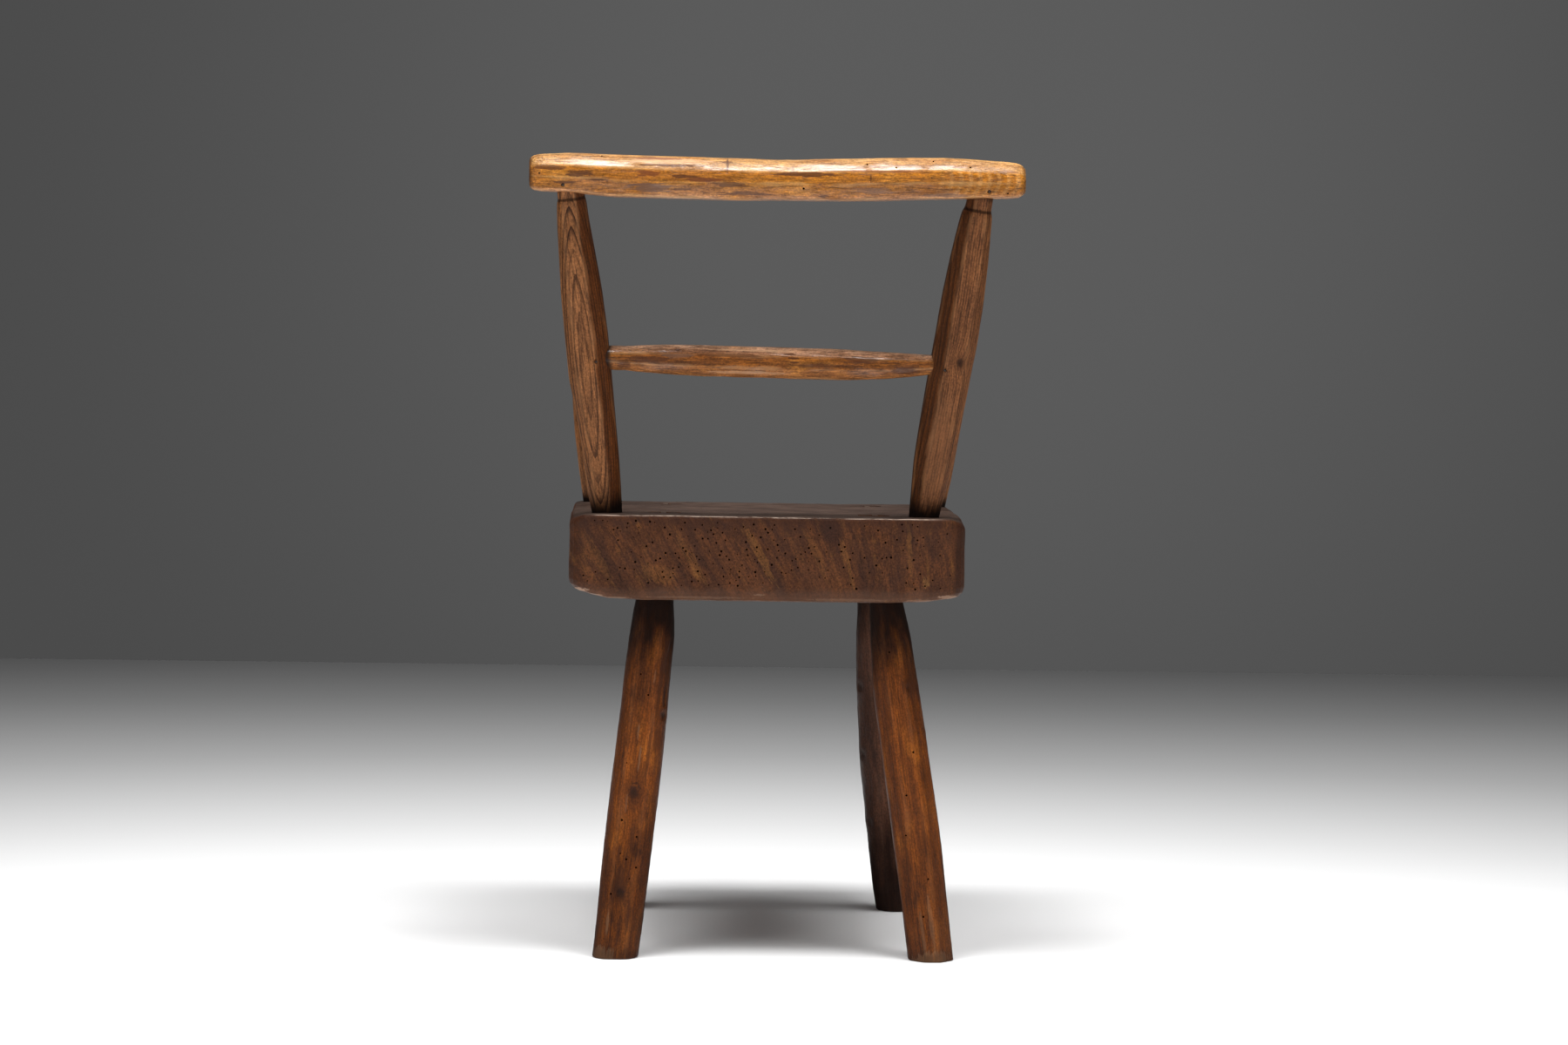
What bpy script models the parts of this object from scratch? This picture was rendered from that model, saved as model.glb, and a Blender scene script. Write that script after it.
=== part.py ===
"""A child's staked armchair: a slab seat on four splayed legs, with a railed back and two arms.

Sizes are in metres and +Z is up. The sitter faces +Y, so their left hand is towards -X.
The origin is on the floor, under the middle of the whole chair.
Every stick is shaved to eight sides. Its ends are tapered tenons, driven into sockets of the same taper.
"""
import math
from collections import namedtuple

import bmesh
import bpy
from mathutils import Matrix, Vector

# Fit between pieces
FIT_GAP = 0.0003            # room around each tenon, wedge and nail
TRIM = 0.012                # length left on a leg before it is sawn flush
SAW_PAST = 0.030            # how far a saw cut reaches beyond what it takes off

# Seat slab
SEAT_TOP = 0.3215           # height of the sitting face above the floor
SEAT_THICKNESS = 0.0615
SEAT_REAR = -0.1324         # the rear face, seen from the origin
SEAT_DEPTH = 0.280
SEAT_MIDDLE = -0.003        # the slab lies a little to the left of the crest
SEAT_REAR_WIDTH = 0.286
SEAT_FRONT_WIDTH = 0.298
SEAT_CORNER_RADIUS = 0.016
SEAT_CORNER_STEPS = 4
SEAT_TOP_ROUND = 0.0025
SEAT_LOWER_ROUND = 0.007
SEAT_EDGE_STEPS = 2
SEAT_RELIEF_WIDTH = 0.034   # the hewn slope under the left and right edges
SEAT_LEFT_RELIEF = 0.008    # height of that slope at each edge
SEAT_RIGHT_RELIEF = 0.005

# Legs: widths are across the flats
LEG_FOOT_WIDTH = 0.0315
LEG_BELLY_WIDTH = 0.0335
LEG_SHOULDER_WIDTH = 0.0310
LEG_NECK_WIDTH = 0.0265     # where the leg enters the seat
LEG_TENON_WIDTH = 0.0225    # where it comes out on top
LEG_BELLY_LOW = 0.060       # height at which the belly begins
LEG_BELLY_DROP = 0.070      # depth below the seat at which the belly ends
LEG_SHOULDER_DROP = 0.026
REAR_LEG_INSET = 0.045      # from the seat's rear face to the rear necks
FRONT_LEG_INSET = 0.050     # from the seat's front face to the front necks
REAR_NECK_INSET = 0.059     # from the seat's sides to the necks
FRONT_NECK_INSET = 0.0645
LEG_NECK_SHIFT = 0.003      # the necks' middle, to the right of the seat's
REAR_FOOT_SHIFT = 0.0054    # the feet's middle, to the right of the necks'
FRONT_FOOT_SHIFT = -0.0005
REAR_FOOT_FLARE = 0.0307    # how far the feet stand out sideways beyond the necks
FRONT_FOOT_FLARE = 0.0263
REAR_FOOT_SPLAY = 0.030     # how far they stand out to the rear or the front
FRONT_FOOT_SPLAY = 0.024

# Wedges in the legs' through tenons
WEDGE_WIDTH = 0.018
WEDGE_THICKNESS = 0.0040
WEDGE_TIP = 0.0016
WEDGE_LENGTH = 0.024

# Crest rail
CREST_LENGTH = 0.354
CREST_AXIS = 0.5642         # height of its middle line
CREST_WIDTH = 0.0298
CREST_END_WIDTH = 0.0245
CREST_TIP_WIDTH = 0.0205
CREST_TIP_LENGTH = 0.003    # the worn edge round each end
CREST_TAPER = 0.046         # length of the narrower part at each end
CREST_SAG = 0.0025          # the middle hangs this much below the ends

# Rear posts
POST_INSET = 0.034          # from the seat's rear face to the posts' middle lines
POST_RAKE = 0.037           # how far back they lean, from seat to crest
POST_FOOT_INSET = 0.0274    # from the seat's sides at the rear
POST_FOOT_SHIFT = -0.0011   # the feet's middle, to the right of the seat's
POST_HEAD_SHIFT = 0.0030    # the heads' middle, to the right of the feet's
POST_HEAD_FLARE = 0.0303    # how far the heads stand out sideways beyond the feet
POST_FOOT_WIDTH = 0.0215
POST_BELLY_WIDTH = 0.0310
POST_SHOULDER_WIDTH = 0.0238
POST_NECK_WIDTH = 0.0185
POST_BELLY_LOW = 0.085      # heights above the seat
POST_BELLY_HIGH = 0.142
POST_SHOULDER_DROP = 0.020  # depth below the crest
POST_TENON_DEPTH = 0.038
POST_TENON_WIDTH = 0.0185
POST_HEAD_DEPTH = 0.017
POST_HEAD_WIDTH = 0.0150

# Mid rail of the back
RAIL_LEFT_HEIGHT = 0.434    # of its middle line at each post
RAIL_RIGHT_HEIGHT = 0.4315
RAIL_WIDTH = 0.0230
RAIL_SHOULDER_WIDTH = 0.0200
RAIL_SHOULDER = 0.050       # distance of the shoulders from the posts
RAIL_END_WIDTH = 0.0155
RAIL_TENON_WIDTH = 0.0120
RAIL_TENON_PAST = 0.005     # how far a tenon reaches beyond the post's middle line

# Front posts under the arms
ARM_POST_INSET = 0.026      # from the seat's front face
ARM_POST_LEAN = 0.006       # forwards, from seat to arm
ARM_POST_FOOT_INSET = 0.01675  # from the seat's sides at the front
ARM_POST_FOOT_SHIFT = 0.0022   # the feet's middle, to the right of the seat's
ARM_POST_HEAD_SHIFT = 0.0026   # the heads' middle, to the right of the feet's
ARM_POST_HEAD_FLARE = 0.01325  # how far the heads stand out sideways beyond the feet
ARM_POST_FOOT_WIDTH = 0.0210
ARM_POST_BELLY_WIDTH = 0.0278
ARM_POST_NECK_WIDTH = 0.0190
ARM_POST_BELLY_LOW = 0.050  # heights above the seat
ARM_POST_BELLY_HIGH = 0.080
ARM_POST_TENON_DEPTH = 0.034
ARM_POST_TENON_WIDTH = 0.0180
ARM_POST_HEAD_PAST = 0.004  # how far its upper tenon reaches above the arm's middle line
ARM_POST_HEAD_WIDTH = 0.0150

# Arms
ARM_REAR_HEIGHT = 0.456
ARM_FRONT_HEIGHT = 0.451
ARM_WIDTH = 0.0255
ARM_SHOULDER = 0.045        # distance of the shoulder from the rear post
ARM_END_WIDTH = 0.0175
ARM_TENON_WIDTH = 0.0130
ARM_TENON_PAST = 0.004
ARM_OVERHANG = 0.0245       # length in front of the front post
ARM_TIP_WIDTH = 0.0200
ARM_TIP_LENGTH = 0.004

# Nails through the joints
NAIL_LENGTH = 0.021
NAIL_WIDTH = 0.0022
NAIL_TIP_WIDTH = 0.0010
NAIL_TIP_LENGTH = 0.004
NAIL_HEAD_WIDTH = 0.0034
NAIL_HEAD_HEIGHT = 0.0012
NAIL_PROUD = 0.0008         # how far a head stands out of the wood
CREST_NAIL_DROP = 0.008     # below the crest's middle line
CREST_NAIL_OUTSET = 0.005   # from the post's middle line, towards the crest's end
RAIL_NAIL_DROP = 0.003      # below the rail's middle line
RAIL_NAIL_INSET = 0.005     # from the post's middle line, towards the middle of the back
ARM_NAIL_INSET = 0.006      # in front of the rear post's middle line

# Heights and places that follow from the sizes above
SEAT_UNDERSIDE = SEAT_TOP - SEAT_THICKNESS
SEAT_FRONT = SEAT_REAR + SEAT_DEPTH
CREST_UNDERSIDE = CREST_AXIS - CREST_WIDTH / 2

# Finishes: base colour, roughness and metallic value
FINISHES = {
    "seat_wood": ((0.085, 0.038, 0.022), 0.55, 0.0),
    "leg_wood": ((0.165, 0.062, 0.024), 0.45, 0.0),
    "post_wood": ((0.205, 0.090, 0.038), 0.45, 0.0),
    "rail_wood": ((0.290, 0.130, 0.048), 0.42, 0.0),
    "arm_wood": ((0.250, 0.105, 0.040), 0.42, 0.0),
    "crest_wood": ((0.420, 0.205, 0.075), 0.35, 0.0),
    "wedge_wood": ((0.150, 0.070, 0.034), 0.55, 0.0),
    "nail_iron": ((0.090, 0.078, 0.070), 0.50, 1.0),
}

SIDES = ((-1, "left"), (1, "right"))
X_RUN, Y_RUN, Z_RUN = range(3)
FACING = {X_RUN: Vector((0, 0, 1)), Y_RUN: Vector((0, 0, 1)), Z_RUN: Vector((1, 0, 0))}
STICK_SIDES = 8
FLAT_TO_CORNER = 1 / math.cos(math.pi / STICK_SIDES)
WELD = 0.00001

# A place along a stick's run, its width there, and how far its middle line bows towards its facing
Station = namedtuple("Station", "place width bow", defaults=(0.0,))


def clear_scene():
    for old in list(bpy.data.objects):
        bpy.data.objects.remove(old, do_unlink=True)


def new_collection(name):
    collection = bpy.data.collections.new(name)
    bpy.context.scene.collection.children.link(collection)
    return collection


def new_finish(name):
    colour, roughness, metallic = FINISHES[name]
    finish = bpy.data.materials.new(name)
    finish.use_nodes = True
    shader = finish.node_tree.nodes["Principled BSDF"]
    shader.inputs["Base Color"].default_value = (*colour, 1.0)
    shader.inputs["Roughness"].default_value = roughness
    shader.inputs["Metallic"].default_value = metallic
    return finish


def point_at_height(low, high, height):
    return low.lerp(high, (height - low.z) / (high.z - low.z))


class Stick:
    """A straight shaved stick from start to end, with stations measured along one world axis."""

    def __init__(self, name, run, start, end, stations):
        self.name = name
        self.run = run
        self.start = start
        self.end = end
        self.stations = stations

    def point_at(self, place):
        return self.start.lerp(self.end, self.share(place))

    def share(self, place):
        return (place - self.start[self.run]) / (self.end[self.run] - self.start[self.run])

    def width_at(self, place):
        for before, after in zip(self.stations, self.stations[1:]):
            part = (place - before.place) / (after.place - before.place)
            if part <= 1:
                break
        return before.width + (after.width - before.width) * part

    def frame(self):
        along = (self.end - self.start).normalized()
        face = FACING[self.run]
        face = (face - along * face.dot(along)).normalized()
        turn = Matrix((face, along.cross(face), along)).transposed()
        return Matrix.Translation(self.start) @ turn.to_4x4()

    def build(self, name, grow=0.0):
        """Bevel a polyline to the stick's widths, and return it as a closed mesh object."""
        curve = bpy.data.curves.new(name, "CURVE")
        curve.dimensions = "3D"
        curve.bevel_depth = 1.0  # so that each point's radius is a real size
        curve.bevel_resolution = STICK_SIDES // 2 - 2  # a bevel has 4 sides, and 2 more for each step
        curve.use_fill_caps = True
        spline = curve.splines.new("POLY")
        spline.points.add(len(self.stations) - 1)
        length = (self.end - self.start).length
        last = len(self.stations) - 1
        for index, (point, station) in enumerate(zip(spline.points, self.stations)):
            along = self.share(station.place) * length
            if index == 0:
                along -= grow
            if index == last:
                along += grow
            point.co = (station.bow, 0.0, along, 1.0)
            point.radius = (station.width / 2 + grow) * FLAT_TO_CORNER
            point.tilt = math.pi / STICK_SIDES
        return mesh_from_curve(curve, self.frame())


def mesh_from_curve(curve, place):
    holder = bpy.data.objects.new(curve.name, curve)
    bpy.context.scene.collection.objects.link(holder)
    holder.matrix_world = place
    graph = bpy.context.evaluated_depsgraph_get()
    mesh = bpy.data.meshes.new_from_object(holder.evaluated_get(graph))
    form = bmesh.new()
    form.from_mesh(mesh)
    bmesh.ops.remove_doubles(form, verts=form.verts, dist=WELD)
    bmesh.ops.recalc_face_normals(form, faces=form.faces)
    form.to_mesh(mesh)
    form.free()
    name = curve.name
    bpy.data.objects.remove(holder, do_unlink=True)
    bpy.data.curves.remove(curve)
    solid = bpy.data.objects.new(name, mesh)
    solid.matrix_world = place
    return solid


def block(name, shape_corner):
    """A cube whose corners, at -1 or 1 each way, are put in place by a function."""
    form = bmesh.new()
    bmesh.ops.create_cube(form, size=2.0)
    for corner in form.verts:
        corner.co = shape_corner(*(round(value) for value in corner.co))
    form.normal_update()
    bmesh.ops.recalc_face_normals(form, faces=form.faces)
    mesh = bpy.data.meshes.new(name)
    form.to_mesh(mesh)
    form.free()
    return bpy.data.objects.new(name, mesh)


class Chair:
    """The collections and finishes that the pieces go into, and the cuts between them."""

    def __init__(self):
        self.pieces = new_collection("childs_armchair")
        self.cutters = new_collection("cutters")
        self.finishes = {name: new_finish(name) for name in FINISHES}
        self.stand = bpy.data.objects.new("chair_origin", None)
        self.pieces.objects.link(self.stand)

    def add(self, solid, finish):
        solid.data.materials.clear()
        solid.data.materials.append(self.finishes[finish])
        self.pieces.objects.link(solid)
        solid.parent = self.stand
        return solid

    def add_cutter(self, solid):
        solid.hide_render = True
        solid.display_type = "WIRE"
        self.cutters.objects.link(solid)
        return solid

    def add_stick(self, stick, finish):
        return self.add(stick.build(stick.name), finish)

    def socket(self, stick):
        return self.add_cutter(stick.build(stick.name + "_socket", FIT_GAP))

    def cut(self, solid, *tools):
        for tool in tools:
            step = solid.modifiers.new(tool.name, "BOOLEAN")
            step.operation = "DIFFERENCE"
            step.solver = "EXACT"
            step.object = tool


def seat_half_width(front):
    return (SEAT_FRONT_WIDTH if front > 0 else SEAT_REAR_WIDTH) / 2


def seat_corner(right, front, up):
    return Vector((
        SEAT_MIDDLE + right * seat_half_width(front),
        SEAT_FRONT if front > 0 else SEAT_REAR,
        SEAT_TOP if up > 0 else SEAT_UNDERSIDE,
    ))


def round_edges(form, edges, radius, steps):
    bmesh.ops.bevel(form, geom=edges, offset=radius, segments=steps, profile=0.5, affect="EDGES")


def edges_at_height(form, height):
    return [edge for edge in form.edges if all(abs(vert.co.z - height) < WELD for vert in edge.verts)]


def make_seat(chair):
    seat = block("seat_slab", seat_corner)
    form = bmesh.new()
    form.from_mesh(seat.data)
    uprights = [edge for edge in form.edges if abs(edge.verts[0].co.z - edge.verts[1].co.z) > WELD]
    round_edges(form, uprights, SEAT_CORNER_RADIUS, SEAT_CORNER_STEPS)
    round_edges(form, edges_at_height(form, SEAT_TOP), SEAT_TOP_ROUND, SEAT_EDGE_STEPS)
    round_edges(form, edges_at_height(form, SEAT_UNDERSIDE), SEAT_LOWER_ROUND, SEAT_EDGE_STEPS)
    form.to_mesh(seat.data)
    form.free()
    chair.add(seat, "seat_wood")
    for side, word in SIDES:
        chair.cut(seat, chair.add_cutter(relief_cutter("seat_relief_" + word, side)))
    return seat


def relief_cutter(name, side):
    """The wood hewn away under one side edge of the seat, past its front and rear faces."""
    height = SEAT_LEFT_RELIEF if side < 0 else SEAT_RIGHT_RELIEF
    slope = height / SEAT_RELIEF_WIDTH

    def corner(outward, front, up):
        from_edge = SEAT_RELIEF_WIDTH * outward
        rise = height + slope * from_edge
        return Vector((
            SEAT_MIDDLE + side * (seat_half_width(front) + from_edge),
            SEAT_FRONT + SEAT_CORNER_RADIUS if front > 0 else SEAT_REAR - SEAT_CORNER_RADIUS,
            SEAT_UNDERSIDE + (rise if up > 0 else rise - SEAT_THICKNESS),
        ))

    return block(name, corner)


def leg_stick(name, neck, foot):
    low = point_at_height(foot, neck, -TRIM)
    high = point_at_height(foot, neck, SEAT_TOP + TRIM)
    return Stick(name, Z_RUN, low, high, [
        Station(-TRIM, LEG_FOOT_WIDTH),
        Station(0.0, LEG_FOOT_WIDTH),
        Station(LEG_BELLY_LOW, LEG_BELLY_WIDTH),
        Station(SEAT_UNDERSIDE - LEG_BELLY_DROP, LEG_BELLY_WIDTH),
        Station(SEAT_UNDERSIDE - LEG_SHOULDER_DROP, LEG_SHOULDER_WIDTH),
        Station(SEAT_UNDERSIDE, LEG_NECK_WIDTH),
        Station(SEAT_TOP, LEG_TENON_WIDTH),
        Station(SEAT_TOP + TRIM, LEG_TENON_WIDTH),
    ])


def leg_sticks():
    sticks = []
    for side, word in SIDES:
        neck_x = SEAT_MIDDLE + LEG_NECK_SHIFT + side * (SEAT_REAR_WIDTH / 2 - REAR_NECK_INSET)
        neck = Vector((neck_x, SEAT_REAR + REAR_LEG_INSET, SEAT_UNDERSIDE))
        spread = Vector((REAR_FOOT_SHIFT + side * REAR_FOOT_FLARE, -REAR_FOOT_SPLAY, -SEAT_UNDERSIDE))
        sticks.append(leg_stick("leg_rear_" + word, neck, neck + spread))
    for side, word in SIDES:
        neck_x = SEAT_MIDDLE + LEG_NECK_SHIFT + side * (SEAT_FRONT_WIDTH / 2 - FRONT_NECK_INSET)
        neck = Vector((neck_x, SEAT_FRONT - FRONT_LEG_INSET, SEAT_UNDERSIDE))
        spread = Vector((FRONT_FOOT_SHIFT + side * FRONT_FOOT_FLARE, FRONT_FOOT_SPLAY, -SEAT_UNDERSIDE))
        sticks.append(leg_stick("leg_front_" + word, neck, neck + spread))
    return sticks


def wedge_block(name, leg, grow=0.0):
    """A wedge driven down the middle of a leg's tenon, in line with the leg."""

    def corner(right, front, up):
        thickness = WEDGE_THICKNESS if up > 0 else WEDGE_TIP
        return Vector((
            right * (thickness / 2 + grow),
            front * (WEDGE_WIDTH / 2 + grow),
            TRIM + grow if up > 0 else -WEDGE_LENGTH - grow,
        ))

    wedge = block(name, corner)
    wedge.matrix_world = Matrix.Translation(leg.point_at(SEAT_TOP) - leg.start) @ leg.frame()
    return wedge


def level_cutter(name, low, high):
    """A slab wider than the chair, which saws pieces off between two heights."""

    def corner(right, front, up):
        return Vector((right * CREST_LENGTH, front * SEAT_DEPTH, high if up > 0 else low))

    return block(name, corner)


def make_legs(chair, seat):
    floor = chair.add_cutter(level_cutter("floor_saw", -TRIM - SAW_PAST, 0.0))
    flush = chair.add_cutter(level_cutter("seat_saw", SEAT_TOP, SEAT_TOP + TRIM + SAW_PAST))
    for stick in leg_sticks():
        leg = chair.add_stick(stick, "leg_wood")
        wedge_name = stick.name.replace("leg_", "leg_wedge_")
        wedge = chair.add(wedge_block(wedge_name, stick), "wedge_wood")
        slot = chair.add_cutter(wedge_block(wedge_name + "_slot", stick, FIT_GAP))
        chair.cut(leg, floor, flush, slot)
        chair.cut(wedge, flush)
        chair.cut(seat, chair.socket(stick))


def rear_post_stick(side, word):
    foot_x = SEAT_MIDDLE + POST_FOOT_SHIFT + side * (SEAT_REAR_WIDTH / 2 - POST_FOOT_INSET)
    foot = Vector((foot_x, SEAT_REAR + POST_INSET, SEAT_TOP))
    head_x = foot_x + POST_HEAD_SHIFT + side * POST_HEAD_FLARE
    head = Vector((head_x, foot.y - POST_RAKE, CREST_UNDERSIDE))
    low = point_at_height(foot, head, SEAT_TOP - POST_TENON_DEPTH)
    high = point_at_height(foot, head, CREST_UNDERSIDE + POST_HEAD_DEPTH)
    return Stick("post_rear_" + word, Z_RUN, low, high, [
        Station(low.z, POST_TENON_WIDTH),
        Station(SEAT_TOP, POST_FOOT_WIDTH),
        Station(SEAT_TOP + POST_BELLY_LOW, POST_BELLY_WIDTH),
        Station(SEAT_TOP + POST_BELLY_HIGH, POST_BELLY_WIDTH),
        Station(CREST_UNDERSIDE - POST_SHOULDER_DROP, POST_SHOULDER_WIDTH),
        Station(CREST_UNDERSIDE, POST_NECK_WIDTH),
        Station(high.z, POST_HEAD_WIDTH),
    ])


def crest_stick(posts):
    axis_y = posts[0].point_at(CREST_AXIS).y
    reach = CREST_LENGTH / 2
    start = Vector((-reach, axis_y, CREST_AXIS))
    end = Vector((reach, axis_y, CREST_AXIS))
    half = [
        Station(-reach, CREST_TIP_WIDTH),
        Station(-reach + CREST_TIP_LENGTH, CREST_END_WIDTH),
        Station(-reach + CREST_TAPER, CREST_WIDTH),
    ]
    middle = Station(0.0, CREST_WIDTH, -CREST_SAG)
    other_half = [Station(-near.place, near.width) for near in reversed(half)]
    return Stick("crest_rail", X_RUN, start, end, [*half, middle, *other_half])


def rail_joint(side, post):
    return post.point_at(RAIL_LEFT_HEIGHT if side < 0 else RAIL_RIGHT_HEIGHT)


def mid_rail_stick(posts):
    left, right = (rail_joint(side, post) for (side, word), post in zip(SIDES, posts))
    left_face = left.x + posts[0].width_at(left.z) / 2
    right_face = right.x - posts[1].width_at(right.z) / 2
    reach = (right - left).normalized() * RAIL_TENON_PAST
    start, end = left - reach, right + reach
    return Stick("mid_rail", X_RUN, start, end, [
        Station(start.x, RAIL_TENON_WIDTH),
        Station(left_face, RAIL_END_WIDTH),
        Station(left_face + RAIL_SHOULDER, RAIL_SHOULDER_WIDTH),
        Station((left.x + right.x) / 2, RAIL_WIDTH),
        Station(right_face - RAIL_SHOULDER, RAIL_SHOULDER_WIDTH),
        Station(right_face, RAIL_END_WIDTH),
        Station(end.x, RAIL_TENON_WIDTH),
    ])


def front_post_stick(side, word):
    foot_x = SEAT_MIDDLE + ARM_POST_FOOT_SHIFT + side * (SEAT_FRONT_WIDTH / 2 - ARM_POST_FOOT_INSET)
    foot = Vector((foot_x, SEAT_FRONT - ARM_POST_INSET, SEAT_TOP))
    head_x = foot_x + ARM_POST_HEAD_SHIFT + side * ARM_POST_HEAD_FLARE
    head = Vector((head_x, foot.y + ARM_POST_LEAN, ARM_FRONT_HEIGHT))
    low = point_at_height(foot, head, SEAT_TOP - ARM_POST_TENON_DEPTH)
    high = point_at_height(foot, head, ARM_FRONT_HEIGHT + ARM_POST_HEAD_PAST)
    return Stick("post_front_" + word, Z_RUN, low, high, [
        Station(low.z, ARM_POST_TENON_WIDTH),
        Station(SEAT_TOP, ARM_POST_FOOT_WIDTH),
        Station(SEAT_TOP + ARM_POST_BELLY_LOW, ARM_POST_BELLY_WIDTH),
        Station(SEAT_TOP + ARM_POST_BELLY_HIGH, ARM_POST_BELLY_WIDTH),
        Station(ARM_FRONT_HEIGHT - ARM_WIDTH / 2, ARM_POST_NECK_WIDTH),
        Station(high.z, ARM_POST_HEAD_WIDTH),
    ])


def arm_stick(word, rear_post, front_post):
    rear = rear_post.point_at(ARM_REAR_HEIGHT)
    front = front_post.point_at(ARM_FRONT_HEIGHT)
    along = (front - rear).normalized()
    start = rear - along * ARM_TENON_PAST
    end = front + along * ARM_OVERHANG
    face = rear.y + rear_post.width_at(ARM_REAR_HEIGHT) / 2
    return Stick("arm_" + word, Y_RUN, start, end, [
        Station(start.y, ARM_TENON_WIDTH),
        Station(face, ARM_END_WIDTH),
        Station(face + ARM_SHOULDER, ARM_WIDTH),
        Station(end.y - ARM_TIP_LENGTH, ARM_WIDTH),
        Station(end.y, ARM_TIP_WIDTH),
    ])


def surface_depth(width, offset):
    """Depth of an eight-sided stick's surface from its middle plane, at a height off its middle line."""
    return min(width / 2, width / 2 * math.sqrt(2) - abs(offset))


def nail_stick(name, run, way, head):
    """A nail driven along one axis, way being 1 or -1, with its head's outer face at a point."""
    step = Vector((0.0, 0.0, 0.0))
    step[run] = way
    start = head[run]
    return Stick(name, run, head, head + step * NAIL_LENGTH, [
        Station(start, NAIL_HEAD_WIDTH),
        Station(start + way * NAIL_HEAD_HEIGHT, NAIL_HEAD_WIDTH),
        Station(start + way * (NAIL_HEAD_HEIGHT + FIT_GAP), NAIL_WIDTH),
        Station(start + way * (NAIL_LENGTH - NAIL_TIP_LENGTH), NAIL_WIDTH),
        Station(start + way * NAIL_LENGTH, NAIL_TIP_WIDTH),
    ])


def crest_nail(side, word, crest, post):
    level = CREST_AXIS - CREST_NAIL_DROP
    spot_x = post.point_at(level).x + side * CREST_NAIL_OUTSET
    depth = surface_depth(crest.width_at(spot_x), CREST_NAIL_DROP) + NAIL_PROUD
    head = Vector((spot_x, crest.start.y - depth, level))
    return nail_stick("crest_nail_" + word, Y_RUN, 1, head)


def rail_nail(side, word, post, rail):
    spot_x = rail_joint(side, post).x - side * RAIL_NAIL_INSET
    level = rail.point_at(spot_x).z - RAIL_NAIL_DROP
    depth = post.width_at(level) / 2 + NAIL_PROUD
    head = Vector((spot_x, post.point_at(level).y - depth, level))
    return nail_stick("rail_nail_" + word, Y_RUN, 1, head)


def arm_rear_nail(side, word, post):
    spot = post.point_at(ARM_REAR_HEIGHT)
    depth = post.width_at(ARM_REAR_HEIGHT) / 2 + NAIL_PROUD
    head = Vector((spot.x + side * depth, spot.y + ARM_NAIL_INSET, ARM_REAR_HEIGHT))
    return nail_stick("arm_rear_nail_" + word, X_RUN, -side, head)


def arm_front_nail(side, word, post, arm):
    spot = post.point_at(ARM_FRONT_HEIGHT)
    depth = arm.width_at(spot.y) / 2 + NAIL_PROUD
    head = Vector((spot.x + side * depth, spot.y, ARM_FRONT_HEIGHT))
    return nail_stick("arm_front_nail_" + word, X_RUN, -side, head)


def make_back_and_arms(chair, seat):
    rear_posts = [rear_post_stick(side, word) for side, word in SIDES]
    crest = crest_stick(rear_posts)
    rail = mid_rail_stick(rear_posts)
    crest_solid = chair.add_stick(crest, "crest_wood")
    rail_solid = chair.add_stick(rail, "rail_wood")
    rail_socket = chair.socket(rail)

    for (side, word), rear_post in zip(SIDES, rear_posts):
        front_post = front_post_stick(side, word)
        arm = arm_stick(word, rear_post, front_post)
        rear_solid = chair.add_stick(rear_post, "post_wood")
        front_solid = chair.add_stick(front_post, "post_wood")
        arm_solid = chair.add_stick(arm, "arm_wood")

        rear_socket = chair.socket(rear_post)
        front_socket = chair.socket(front_post)
        chair.cut(seat, rear_socket, front_socket)
        chair.cut(crest_solid, rear_socket)
        chair.cut(arm_solid, front_socket)
        chair.cut(rear_solid, rail_socket, chair.socket(arm))

        joints = (
            (crest_nail(side, word, crest, rear_post), (crest_solid, rear_solid)),
            (rail_nail(side, word, rear_post, rail), (rear_solid, rail_solid)),
            (arm_rear_nail(side, word, rear_post), (rear_solid, arm_solid)),
            (arm_front_nail(side, word, front_post, arm), (arm_solid, front_solid)),
        )
        for nail, nailed in joints:
            chair.add_stick(nail, "nail_iron")
            hole = chair.socket(nail)
            for solid in nailed:
                chair.cut(solid, hole)


def main():
    clear_scene()
    chair = Chair()
    seat = make_seat(chair)
    make_legs(chair, seat)
    make_back_and_arms(chair, seat)


main()
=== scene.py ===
# Child's staked armchair: the finished look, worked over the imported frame
import math
import random

import bmesh
import bpy
from mathutils import Matrix, Vector


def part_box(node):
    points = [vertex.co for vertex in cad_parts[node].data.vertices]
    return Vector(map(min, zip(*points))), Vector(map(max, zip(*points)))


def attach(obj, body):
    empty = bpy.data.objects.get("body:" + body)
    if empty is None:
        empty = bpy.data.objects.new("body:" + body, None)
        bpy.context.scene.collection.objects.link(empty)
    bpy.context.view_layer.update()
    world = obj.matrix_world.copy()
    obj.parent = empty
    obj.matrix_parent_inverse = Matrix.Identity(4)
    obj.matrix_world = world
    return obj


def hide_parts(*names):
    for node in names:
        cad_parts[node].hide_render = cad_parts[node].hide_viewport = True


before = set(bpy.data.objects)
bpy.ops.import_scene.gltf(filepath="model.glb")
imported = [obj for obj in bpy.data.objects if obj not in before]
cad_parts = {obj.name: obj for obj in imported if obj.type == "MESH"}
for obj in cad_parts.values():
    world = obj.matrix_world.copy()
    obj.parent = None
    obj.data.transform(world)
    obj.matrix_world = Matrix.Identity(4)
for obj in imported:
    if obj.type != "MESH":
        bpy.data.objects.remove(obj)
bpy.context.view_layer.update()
mm = 0.001
seatLow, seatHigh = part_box("seat_slab")
seatTop = seatHigh.z
seatMiddleX = (seatLow.x + seatHigh.x) / 2
print("frame loaded with", len(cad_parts), "nodes")


# Handling of pieces and selections
def pickOnly(piece):
    bpy.ops.object.select_all(action="DESELECT")
    piece.select_set(True)
    bpy.context.view_layer.objects.active = piece


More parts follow.
